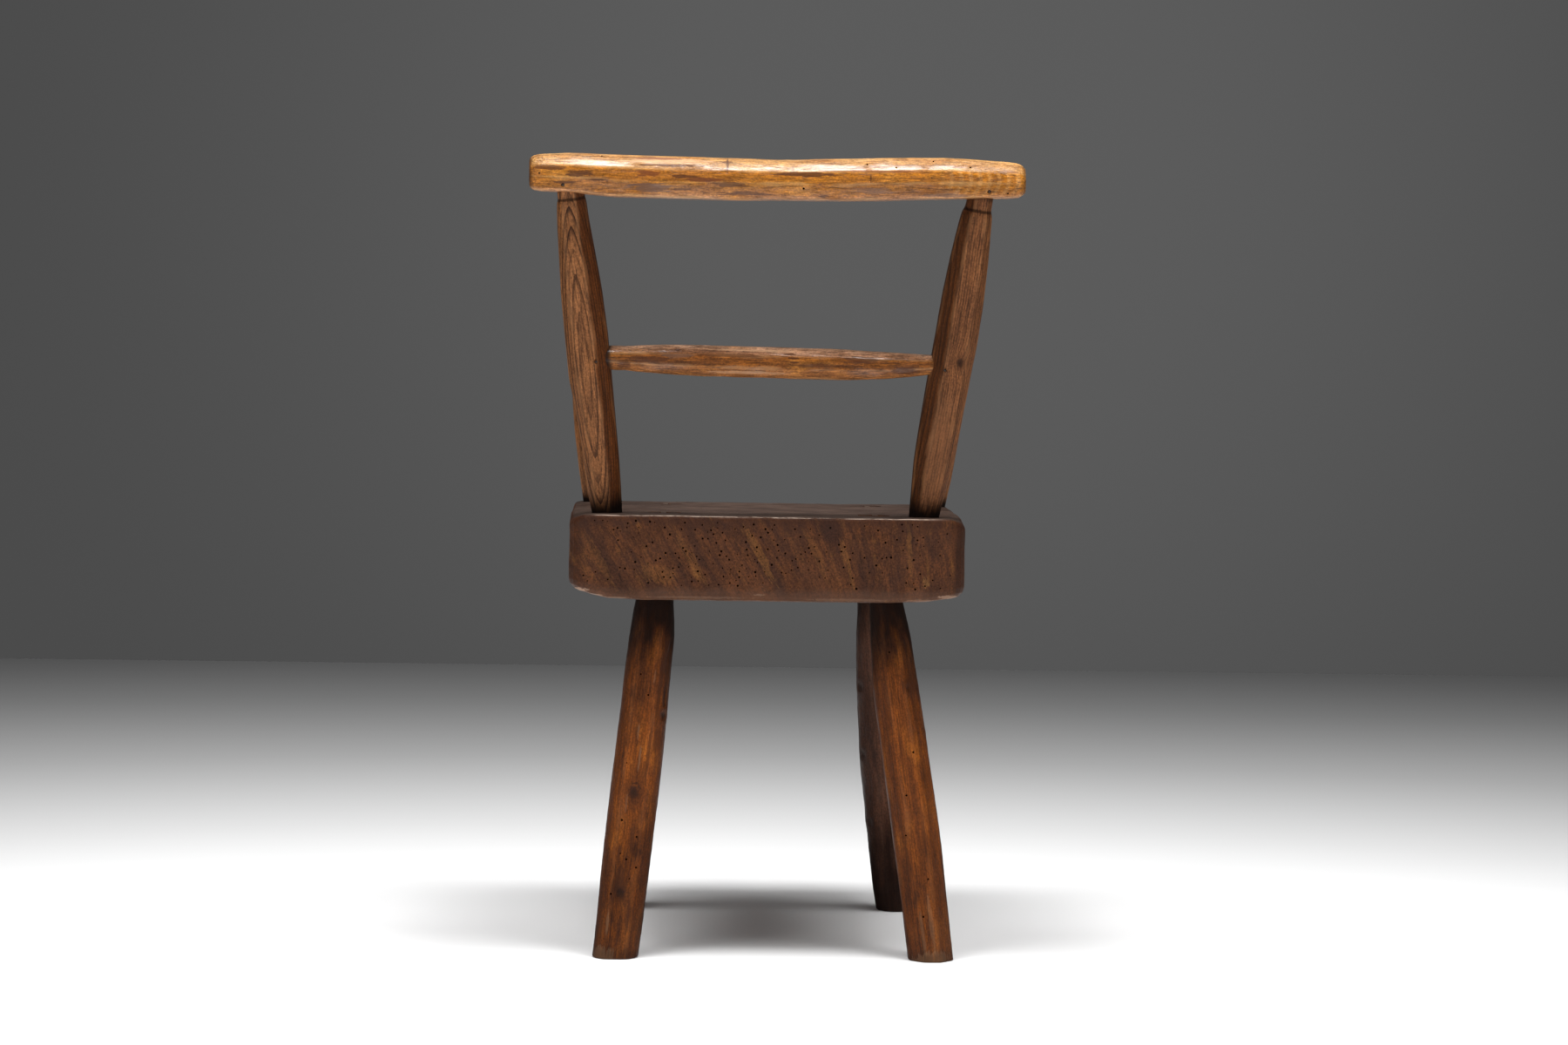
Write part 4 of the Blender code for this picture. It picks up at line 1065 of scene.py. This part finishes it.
def makeSeatWood():
    material, tree, shader = startMaterial("seatPlankWood")
    place = objectPlace(tree)
    x, y, z = threeParts(tree, place)
    skyward = facing(tree)[2]
    # bands lean in the left part of the rear face and stand upright in the right part
    leanLeft, leanRight = seatWood["lean"]
    drawnDeep, drawnTall = seatWood["drawnOut"]
    lean = spread(tree, x, 0.0, seatWood["bandTurn"], leanLeft, leanRight)
    shear = times(tree, calc(tree, "SUBTRACT", z, seatTop), lean)
    banded = tree.nodes.new("ShaderNodeCombineXYZ")
    tree.links.new(calc(tree, "ADD", x, shear), banded.inputs[0])
    tree.links.new(times(tree, y, drawnDeep), banded.inputs[1])
    tree.links.new(times(tree, z, drawnTall), banded.inputs[2])
    bandPlace = banded.outputs[0]
    broad = noise(tree, bandPlace, (62, 62, 62), 3.0, 0.6)
    narrow = noise(tree, bandPlace, (300, 300, 300), 4.0, 0.65)
    mottle = noise(tree, place, (60, 36, 60), 4.0, 0.62)
    broadDark = times(tree, spread(tree, broad, 0.40, 0.68), 0.8)
    body = blend(tree, broadDark, rgb(seatWood["red"]), rgb(seatWood["dark"]))
    body = tint(tree, body, seatWood["dark"], spread(tree, narrow, 0.46, 0.68), 0.6)
    golden = noise(tree, bandPlace, (120, 120, 150), 3.0, 0.6)
    gold = times(tree, spread(tree, golden, 0.54, 0.74), spread(tree, mottle, 0.42, 0.66, 0.1, 0.75))
    body = tint(tree, body, seatWood["gold"], gold)
    for across, below, half, tall, colour, strength in seatWood["streaks"]:
        share = min(1.0, max(0.0, (seatMiddleX + across * mm) / seatWood["bandTurn"]))
        tilt = leanLeft + (leanRight - leanLeft) * share * share * (3 - 2 * share)
        centre = (seatMiddleX + (across - below * tilt) * mm, seatLow.y * drawnDeep,
                  (seatTop - below * mm) * drawnTall)
        mask = useGroup(tree, agedPatch, Place=bandPlace, Centre=centre, Ragged=3.0, Grain=(460, 460, 330),
                        Size=(half * mm, 4 * mm, tall * drawnTall * mm))["Mask"]
        body = tint(tree, body, seatWood[colour], mask, strength)
    hair = spread(tree, noise(tree, bandPlace, (620, 620, 420), 5.0, 0.72), 0.53, 0.62)
    body = tint(tree, body, seatWood["dark"], hair, 0.55)
    wander = calc(tree, "ABSOLUTE", swing(tree, bandPlace, (130, 130, 110), 4.0))
    check = times(tree, spread(tree, wander, 0.0, 0.014, 1.0, 0.0), spread(tree, mottle, 0.44, 0.6))
    body = tint(tree, body, seatWood["crack"], check, 0.7)
    fleck = noise(tree, place, (760, 260, 760), 5.0, 0.75)
    body = vary(tree, body, spread(tree, fleck, 0.25, 0.75, 0.40, 1.60))
    # grey band along the worn lower edge, and darker along the upper edge and towards the ends
    uneven = calc(tree, "SUBTRACT", mottle, 0.5)
    low = calc(tree, "MULTIPLY_ADD", uneven, 14 * mm, calc(tree, "SUBTRACT", z, seatLow.z))
    body = tint(tree, body, seatWood["grey"], spread(tree, low, 4 * mm, 12 * mm, 0.45, 0.0))
    rim = calc(tree, "MULTIPLY_ADD", uneven, 24 * mm, calc(tree, "SUBTRACT", seatTop, z))
    body = tint(tree, body, seatWood["dark"], spread(tree, rim, 2 * mm, 13 * mm, 0.6, 0.0))
    ends = calc(tree, "SUBTRACT", 150 * mm, calc(tree, "ABSOLUTE", calc(tree, "ADD", x, 3 * mm)))
    ends = calc(tree, "MULTIPLY_ADD", uneven, 30 * mm, ends)
    body = tint(tree, body, seatWood["dark"], spread(tree, ends, 2 * mm, 24 * mm, 0.55, 0.0))
    # top: dusty, with a broken bright line along its rear edge: worn, glossier wood, and a painted highlight
    # where the rounding turns up towards the lamps
    dust = useGroup(tree, settledDust, Place=place)["Mask"]
    up = spread(tree, skyward, 0.75, 0.97)
    body = tint(tree, body, seatWood["top"], up, 0.88)
    soiled = times(tree, up, spread(tree, ends, 0.0, 52 * mm, 0.65, 0.0))
    body = tint(tree, body, seatWood["soil"], soiled)
    body = tint(tree, body, seatWood["pale"], dust, 0.22)
    # bright line on the rounding turned up towards the lamps, at the rear: a painted highlight on glossier
    # worn wood
    turned = times(tree, spread(tree, skyward, 0.70, 0.78), spread(tree, skyward, 0.84, 0.91, 1.0, 0.0))
    broken = spread(tree, noise(tree, place, (60, 90, 300), 5.0, 0.75), 0.38, 0.58)
    high = spread(tree, z, seatTop - 5 * mm, seatTop - 3 * mm)
    line = times(tree, times(tree, turned, broken), high)
    line = times(tree, line, spread(tree, ends, 20 * mm, 40 * mm))
    line = times(tree, line, spread(tree, y, seatLow.y + 20 * mm, seatLow.y + 60 * mm, 1.0, 0.15))
    body = tint(tree, body, seatWood["arris"], line, 0.8)
    for centre, size, strength in seatWood["chips"]:
        spot = (seatMiddleX + centre[0] * mm, seatLow.y + centre[1] * mm, seatLow.z + centre[2] * mm)
        chip = useGroup(tree, agedPatch, Place=place, Centre=spot, Size=[n * mm for n in size], Ragged=2.6,
                        Grain=(420, 420, 420))["Mask"]
        body = tint(tree, body, seatWood["bare"], chip, strength)
    tree.links.new(body, shader.inputs["Base Color"])
    rough = spread(tree, mottle, 0.3, 0.7, 0.46, 0.66)
    rough = calc(tree, "MULTIPLY_ADD", dust, 0.15, calc(tree, "MULTIPLY_ADD", line, -0.15, rough))
    tree.links.new(rough, shader.inputs["Roughness"])
    shader.inputs["Specular IOR Level"].default_value = seatWood["shine"]
    tree.links.new(line, shader.inputs["Coat Weight"])
    shader.inputs["Coat Roughness"].default_value = 0.2
    giveRelief(tree, shader, calc(tree, "ADD", fleck, narrow), 0.7, 0.5)
    return material


# Beetle holes: one cutter of many short drills, thickest in the upper left of the rear face
beetles = {"seed": 163, "rearCount": 190, "topCount": 34, "sideCount": 26, "frontCount": 60,
           "radius": (0.40, 0.88), "depth": (4.0, 7.5), "apart": 2.8}


def rearDensity(x, z):
    across = (x - seatLow.x) / (seatHigh.x - seatLow.x)
    high = (z - seatLow.z) / (seatHigh.z - seatLow.z)
    thick = 0.16 + 0.84 * math.exp(-((across - 0.36) / 0.24) ** 2) * (0.35 + 0.65 * high)
    rows = 0.75 * math.exp(-((across - 0.85) / 0.035) ** 2)
    return min(1.0, thick + rows)


def holeSpots(dice):
    spots = []

    def clear(place):
        return all((place - other).length > beetles["apart"] * mm for other, inward in spots)

    def scatter(count, draw, inward, density=None):
        made, tries = 0, 0
        while made < count and tries < count * 60:
            tries += 1
            place = draw()
            if clear(place) and (density is None or dice.random() < density(place.x, place.z)):
                spots.append((place, Vector(inward)))
                made += 1

    inset = 10 * mm
    span = (seatLow.x + inset * 1.6, seatHigh.x - inset * 1.6)
    tall = (seatLow.z + inset, seatHigh.z - inset * 0.4)
    deep = (seatLow.y + inset * 2, seatHigh.y - inset * 2)
    scatter(beetles["rearCount"], lambda: Vector((dice.uniform(*span), seatLow.y, dice.uniform(*tall))),
            (0, 1, 0), rearDensity)
    scatter(beetles["frontCount"], lambda: Vector((dice.uniform(*span), seatHigh.y, dice.uniform(*tall))),
            (0, -1, 0))
    scatter(beetles["topCount"], lambda: Vector((dice.uniform(*span), dice.uniform(*deep), seatTop)),
            (0, 0, -1))
    for x, way in ((seatLow.x + 2 * mm, 1), (seatHigh.x - 2 * mm, -1)):
        scatter(beetles["sideCount"] // 2, lambda: Vector((x, dice.uniform(*deep), dice.uniform(*tall))),
                (way, 0, 0))
    return spots


# inside of the beetle holes: near black, painted shade of the deep narrow holes
def makeBorePaintedShade():
    material, tree, shader = startMaterial("beetleBoreShade")
    place = objectPlace(tree)
    speck = noise(tree, place, (900, 900, 900), 2.0)
    body = blend(tree, spread(tree, speck, 0.35, 0.7), rgb((0.004, 0.002, 0.0012)),
                 rgb((0.012, 0.006, 0.003)))
    tree.links.new(body, shader.inputs["Base Color"])
    shader.inputs["Roughness"].default_value = 0.9
    shader.inputs["Specular IOR Level"].default_value = 0.0
    return material


borePaintedShade = makeBorePaintedShade()


def drillHoles(piece, spots, dice, skin):
    bpy.ops.object.select_all(action="DESELECT")
    drill = None
    for place, inward in spots:
        depth = dice.uniform(*beetles["depth"]) * mm
        lean = Vector([dice.uniform(-0.07, 0.07) for i in range(3)])
        aim = (inward + lean).normalized()
        clearance = 4 * mm
        bpy.ops.mesh.primitive_cylinder_add(
            vertices=8, radius=dice.uniform(*beetles["radius"]) * mm, depth=depth + clearance,
            location=place + aim * (depth - clearance) / 2, rotation=aim.to_track_quat("Z", "Y").to_euler())
        if drill is None:
            drill = bpy.context.object
            openMesh(drill)
    closeMesh()
    for mesh in (piece.data, drill.data):
        mesh.materials.clear()
        mesh.materials.append(skin)
        mesh.materials.append(borePaintedShade)
    for face in drill.data.polygons:
        face.material_index = 1
    cutAway(piece, drill, "MANIFOLD")


def boresIn(part):
    # holes in the rear of a stick, at places along it and distances from its middle
    stick, material, slotName, start, turn = finished[part["node"]]
    along, run = turn.col[2], part["run"]
    aside = Vector((0, 0, 1)) if run == 0 else Vector((1, 0, 0))
    spots = []
    for runPlace, offset in part["bores"]:
        axisPoint = start + along * ((runPlace * mm - start[run]) / along[run])
        outside = axisPoint + aside * offset * mm + Vector((0, -0.1, 0))
        hit, spot, normal, index = stick.ray_cast(outside, Vector((0, 1, 0)))
        if hit:
            spots.append((spot, Vector((0, 1, 0))))
    return spots


dice = random.Random(beetles["seed"])
drillHoles(seat, holeSpots(dice), dice, makeSeatWood())
for part in (crestRail, legRearLeft, legRearRight):
    stick, material, *rest = finished[part["node"]]
    drillHoles(stick, boresIn(part), dice, material)
    finished[part["node"]] = (stick, None, *rest)
print("beetle holes drilled,", len(seat.data.polygons), "faces in the seat")
for node in [leg["node"] for leg in legs] + [post["node"] for post in posts]:
    cutAway(seat, grownCopy(finished[node][0], seatSlab["socketGap"] * mm), "MANIFOLD")
print("sockets cut,", len(seat.data.polygons), "faces in the seat")

pickOnly(seat)
bpy.ops.object.shade_smooth_by_angle(angle=math.radians(seatSlab["smoothTo"]))
dress(seat, "seat_slab", None)

# Legs: sawn level at the floor, and just proud of the seat
for leg in legs:
    stick = finished[leg["node"]][0]
    trimLevel(stick, seatTop + seatSlab["tenonProud"] * mm, keepAbove=False)
    trimLevel(stick, 0.0, keepAbove=True, chamfer=foot["edge"] * mm)

# Wedges: split hardwood driven across each leg's end, left a hair proud
wedges = {"proud": 0.3, "topThick": 4.0, "wide": 18.0, "tipThick": 1.2, "edge": 0.35, "gap": 0.15}
wedgeWood = {"pale": (0.075, 0.046, 0.032), "dark": (0.034, 0.019, 0.012)}


def makeWedgeWood():
    material, tree, shader = startMaterial("wedgeEndGrain")
    place = objectPlace(tree)
    speck = noise(tree, place, (1400, 1400, 200), 2.0)
    streak = noise(tree, place, (900, 160, 60), 3.0)
    body = blend(tree, spread(tree, speck, 0.4, 0.7), rgb(wedgeWood["pale"]), rgb(wedgeWood["dark"]))
    body = vary(tree, body, spread(tree, streak, 0.25, 0.75, 0.6, 1.3))
    tree.links.new(body, shader.inputs["Base Color"])
    tree.links.new(spread(tree, speck, 0.2, 0.8, 0.5, 0.75), shader.inputs["Roughness"])
    giveRelief(tree, shader, speck, 0.6, 0.3)
    return material


def shapeWedge(node, seed):
    low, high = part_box(node)
    middle = (low + high) / 2
    bpy.ops.object.select_all(action="DESELECT")
    tall = high.z - low.z + wedges["proud"] * mm
    bpy.ops.mesh.primitive_cube_add(size=1, location=(middle.x, middle.y, low.z + tall / 2),
                                    scale=(wedges["topThick"] * mm, wedges["wide"] * mm, tall))
    wedge = bpy.context.object
    settle()
    openMesh(wedge)
    selectWhere(wedge, "verts", lambda v: v.co.z < low.z + tall / 2)
    bpy.ops.transform.resize(value=(wedges["tipThick"] / wedges["topThick"], 1, 1), center_override=middle)
    bpy.ops.mesh.select_all(action="SELECT")
    bpy.ops.mesh.subdivide(number_cuts=3)
    bpy.ops.mesh.select_mode(type="EDGE")
    selectWhere(wedge, "edges", lambda e: len(e.link_faces) == 2 and e.calc_face_angle() > 1.0)
    bpy.ops.mesh.bevel(offset=wedges["edge"] * mm, segments=2, affect="EDGES")
    closeMesh()
    subdivide(wedge, 2, simple=True)
    roughen(wedge, 3 * mm, 0.35 * mm, (1, 1, 3), seed)
    pickOnly(wedge)
    bpy.ops.object.shade_smooth_by_angle(angle=math.radians(40))
    return wedge


wedgeMaterial = makeWedgeWood()
for number, leg in enumerate(legs):
    node = leg["node"].replace("leg_", "leg_wedge_")
    wedge = shapeWedge(node, 171 + number)
    cutAway(finished[leg["node"]][0], grownCopy(wedge, wedges["gap"] * mm))
    dress(wedge, node, wedgeMaterial)
print("legs sawn and wedged")

# Nails: small hand-made iron heads, sunk level with the wood
nails = {"head": 1.05, "postHead": 0.95, "dome": 0.3, "thick": 0.9, "sunk": 0.1, "ringGap": 0.25,
         "ringDepth": 1.1, "shank": 0.7, "steps": (0.25, 0.3), "upperDome": 0.4, "taper": 0.3,
         "pointShort": 3}
nailPlaces = {
    "crest_nail_left": ("crest_rail", (0, 1, 0)), "crest_nail_right": ("crest_rail", (0, 1, 0)),
    "rail_nail_left": ("post_rear_left", (0, 1, 0)), "rail_nail_right": ("post_rear_right", (0, 1, 0)),
    "arm_rear_nail_left": ("post_rear_left", (1, 0, 0)),
    "arm_rear_nail_right": ("post_rear_right", (-1, 0, 0)), "arm_front_nail_left": ("arm_left", (1, 0, 0)),
    "arm_front_nail_right": ("arm_right", (-1, 0, 0)),
}


def makeNailIron():
    material, tree, shader = startMaterial("nailIron")
    place = objectPlace(tree)
    rust = noise(tree, place, (1200, 1200, 1200), 3.0, 0.6)
    body = blend(tree, spread(tree, rust, 0.4, 0.65), rgb((0.055, 0.047, 0.042)), rgb((0.075, 0.034, 0.018)))
    tree.links.new(body, shader.inputs["Base Color"])
    tree.links.new(spread(tree, rust, 0.35, 0.65, 0.85, 0.3), shader.inputs["Metallic"])
    tree.links.new(spread(tree, rust, 0.3, 0.7, 0.38, 0.7), shader.inputs["Roughness"])
    giveRelief(tree, shader, rust, 0.5, 0.2)
    return material


def shapeNail(node, seed):
    carrier, inward = nailPlaces[node]
    wood = finished[carrier][0]
    inward = Vector(inward)
    head = nails["postHead" if "rail" in node else "head"]
    low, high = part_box(node)
    middle = (low + high) / 2
    length = abs((high - low).dot(inward))
    hit, spot, normal, index = wood.ray_cast(middle - inward * 0.1, inward)
    if not hit:
        spot = middle - inward * length / 2
    turn = (-inward).to_track_quat("Z", "Y")

    bpy.ops.object.select_all(action="DESELECT")
    deep = nails["ringDepth"] * mm
    bpy.ops.mesh.primitive_cylinder_add(vertices=14, radius=(head + nails["ringGap"]) * mm, depth=2 * deep,
                                        location=spot, rotation=turn.to_euler())
    cutAway(wood, bpy.context.object)

    bpy.ops.object.select_all(action="DESELECT")
    thick = nails["thick"] * mm
    bpy.ops.mesh.primitive_cylinder_add(vertices=12, radius=head * mm, depth=thick,
                                        location=(0, 0, -thick / 2))
    nail = bpy.context.object
    settle()
    openMesh(nail, "FACE")
    selectWhere(nail, "faces", lambda f: f.normal.z > 0.9)
    bpy.ops.mesh.inset(thickness=nails["steps"][0] * head * mm)
    bpy.ops.transform.translate(value=(0, 0, nails["dome"] * mm))
    bpy.ops.mesh.inset(thickness=nails["steps"][1] * head * mm)
    bpy.ops.transform.translate(value=(0, 0, nails["dome"] * nails["upperDome"] * mm))
    selectWhere(nail, "faces", lambda f: f.normal.z < -0.9)
    bpy.ops.mesh.inset(thickness=(head - nails["shank"]) * mm)
    reach = length - nails["pointShort"] * mm
    bpy.ops.mesh.extrude_region_move(TRANSFORM_OT_translate={"value": (0, 0, -reach)})
    bpy.ops.transform.resize(value=(nails["taper"], nails["taper"], 1), center_override=(0, 0, -length))
    closeMesh()
    subdivide(nail, 1)
    roughen(nail, 1.6 * mm, 0.18 * mm, (1, 1, 1), seed)
    nail.matrix_world = Matrix.Translation(spot + inward * nails["sunk"] * mm) @ turn.to_matrix().to_4x4()
    pickOnly(nail)
    settle()
    bpy.ops.object.shade_smooth_by_angle(angle=math.radians(45))
    return nail


ironMaterial = makeNailIron()
for number, node in enumerate(nailPlaces):
    dress(shapeNail(node, 190 + number), node, ironMaterial)
for node, (stick, material, slotName, start, turn) in finished.items():
    dress(stick, node, material)
print("nails driven and sticks dressed")

# Room: pale floor with a painted falloff of light, into a grey wall that glows brighter round its middle
room = {"floorHalf": 6.0, "wallHeight": 4.0, "wallLeft": (-1.135, 2.41), "wallRight": (1.13, 2.44),
        "wallGrey": 0.098, "glowMiddle": (0.28, 2.4, 0.78), "glowShares": (1.08, 0.72),
        "poolMiddle": (0.0, -0.9), "poolReach": 4.0}


def makeFloor():
    bpy.ops.object.select_all(action="DESELECT")
    bpy.ops.mesh.primitive_plane_add(size=2 * room["floorHalf"], location=(0, 0, 0))
    floor = bpy.context.object
    floor.name = "studioFloor"
    material, tree, shader = startMaterial("paleFloor")
    place = objectPlace(tree)
    # floor colour: pale round the pool middle and greyer far away, a painted falloff of the lamps' light
    paintedFalloff = tree.nodes.new("ShaderNodeValToRGB")
    away = vectorCalc(tree, "DISTANCE", place, (*room["poolMiddle"], 0.0))
    tree.links.new(calc(tree, "DIVIDE", away, room["poolReach"]), paintedFalloff.inputs[0])
    stops = [(0.0, 0.88), (0.30, 0.88), (0.385, 0.72), (0.53, 0.51), (0.70, 0.36), (0.83, 0.28), (1.0, 0.22)]
    paintedFalloff.color_ramp.interpolation = "LINEAR"
    while len(paintedFalloff.color_ramp.elements) < len(stops):
        paintedFalloff.color_ramp.elements.new(0.5)
    for element, (spot, grey) in zip(paintedFalloff.color_ramp.elements, stops):
        element.position = spot
        element.color = (grey, grey, grey, 1)
    tree.links.new(paintedFalloff.outputs[0], shader.inputs["Base Color"])
    shader.inputs["Roughness"].default_value = 0.8
    shader.inputs["Specular IOR Level"].default_value = 0.1
    floor.data.materials.append(material)


def makeWall():
    left, right = (Vector((*room[side], 0.0)) for side in ("wallLeft", "wallRight"))
    along = (right - left).normalized()
    bpy.ops.object.select_all(action="DESELECT")
    bpy.ops.mesh.primitive_plane_add(size=1)
    wall = bpy.context.object
    wall.name = "studioWall"
    middle = (left + right) / 2 + Vector((0, 0, room["wallHeight"] / 2))
    towards = Vector((along.y, -along.x, 0))
    turn = Matrix((along, Vector((0, 0, 1)), towards)).transposed().to_4x4()
    size = Matrix.Diagonal((2 * room["floorHalf"], room["wallHeight"], 1.0, 1.0))
    wall.matrix_world = Matrix.Translation(middle) @ turn @ size
    settle()
    material, tree, shader = startMaterial("greyWall")
    tree.nodes.remove(shader)
    place = objectPlace(tree)
    away = vectorCalc(tree, "DISTANCE", place, room["glowMiddle"])
    bright, dim = (room["wallGrey"] * share for share in room["glowShares"])
    # the wall glows, brighter round glowMiddle: a painted patch of light on the backdrop
    glow = tree.nodes.new("ShaderNodeEmission")
    tree.links.new(spread(tree, away, 0.2, 1.5, bright, dim), glow.inputs["Color"])
    clearBack = tree.nodes.new("ShaderNodeBsdfTransparent")
    mix = tree.nodes.new("ShaderNodeMixShader")
    geometry = tree.nodes.new("ShaderNodeNewGeometry")
    tree.links.new(geometry.outputs["Backfacing"], mix.inputs[0])
    tree.links.new(glow.outputs[0], mix.inputs[1])
    tree.links.new(clearBack.outputs[0], mix.inputs[2])
    tree.links.new(mix.outputs[0], tree.nodes["Material Output"].inputs["Surface"])
    wall.data.materials.append(material)


makeFloor()
makeWall()

# Light: two soft boxes and a strip over the crest, low fills at both sides and weak ones in front
lamps = {}
for side, name in ((-1, "leftOverhead"), (1, "rightOverhead")):
    lamps[name] = {"place": (0.72 * side, -0.4, 2.2), "aim": (0.1 * side, -0.1, 0.3), "size": (0.95, 0.75),
                   "power": 23, "glossy": False}
lamps["crestStrip"] = {"place": (0, -0.4, 2.2), "aim": (0, -0.14, 0.56), "size": (1.3, 0.42), "power": 34}
for side, name, power in ((-1, "leftFill", 16), (1, "rightFill", 14)):
    lamps[name] = {"place": (1.6 * side, -2.4, 0.5), "aim": (0, 0, 0.35), "size": (1.0, 0.7), "power": power}
for side, name in ((-1, "frontLeftFill"), (1, "frontRightFill")):
    lamps[name] = {"place": (1.5 * side, 2.0, 0.5), "aim": (0, 0, 0.38), "size": (0.6, 0.6), "power": 0.35,
                   "spread": 50, "glossy": False}
for name, lamp in lamps.items():
    light = bpy.data.lights.new(name, "AREA")
    light.spread = math.radians(lamp.get("spread", 180))
    light.shape = "RECTANGLE"
    light.size, light.size_y = lamp["size"]
    light.energy = lamp["power"]
    holder = bpy.data.objects.new(name, light)
    bpy.context.scene.collection.objects.link(holder)
    holder.visible_glossy = lamp.get("glossy", True)
    holder.location = lamp["place"]
    aim = Vector(lamp["aim"]) - Vector(lamp["place"])
    holder.rotation_euler = aim.to_track_quat("-Z", "Y").to_euler()

world = bpy.data.worlds.new("studioAir")
bpy.context.scene.world = world
world.use_nodes = True
air = world.node_tree
ambient = air.nodes["Background"]
ambient.inputs["Color"].default_value = (0.05, 0.05, 0.052, 1)
ambient.inputs["Strength"].default_value = 1.0
seen = air.nodes.new("ShaderNodeBackground")
seen.inputs["Color"].default_value = (room["wallGrey"],) * 3 + (1,)
path = air.nodes.new("ShaderNodeLightPath")
choose = air.nodes.new("ShaderNodeMixShader")
air.links.new(path.outputs["Is Camera Ray"], choose.inputs[0])
air.links.new(ambient.outputs[0], choose.inputs[1])
air.links.new(seen.outputs[0], choose.inputs[2])
air.links.new(choose.outputs[0], air.nodes["World Output"].inputs["Surface"])
bpy.context.scene.view_settings.view_transform = "Standard"
print("room and lamps set")

# Camera: behind the chair, at a height between the seat and the crest
cameraSpec = {
    "place": (-0.0571149, -2.6319068, 0.421), "yaw": 1.5, "pitch": 2.37, "roll": 0.85,
    "lens": 79.88, "sensor": 36.0,
}


def makeCamera():
    data = bpy.data.cameras.new("viewer")
    data.sensor_width = cameraSpec["sensor"]
    data.lens = cameraSpec["lens"]
    data.clip_end = 50
    camera = bpy.data.objects.new("viewer", data)
    bpy.context.scene.collection.objects.link(camera)
    yaw, pitch, roll = (math.radians(cameraSpec[name]) for name in ("yaw", "pitch", "roll"))
    forward = Vector((math.sin(yaw) * math.cos(pitch), math.cos(yaw) * math.cos(pitch), -math.sin(pitch)))
    level = forward.cross(Vector((0, 0, 1))).normalized()
    upright = level.cross(forward)
    right = level * math.cos(roll) + upright * math.sin(roll)
    up = upright * math.cos(roll) - level * math.sin(roll)
    turn = Matrix((right, up, -forward)).transposed().to_4x4()
    camera.matrix_world = Matrix.Translation(cameraSpec["place"]) @ turn
    bpy.context.scene.camera = camera


makeCamera()
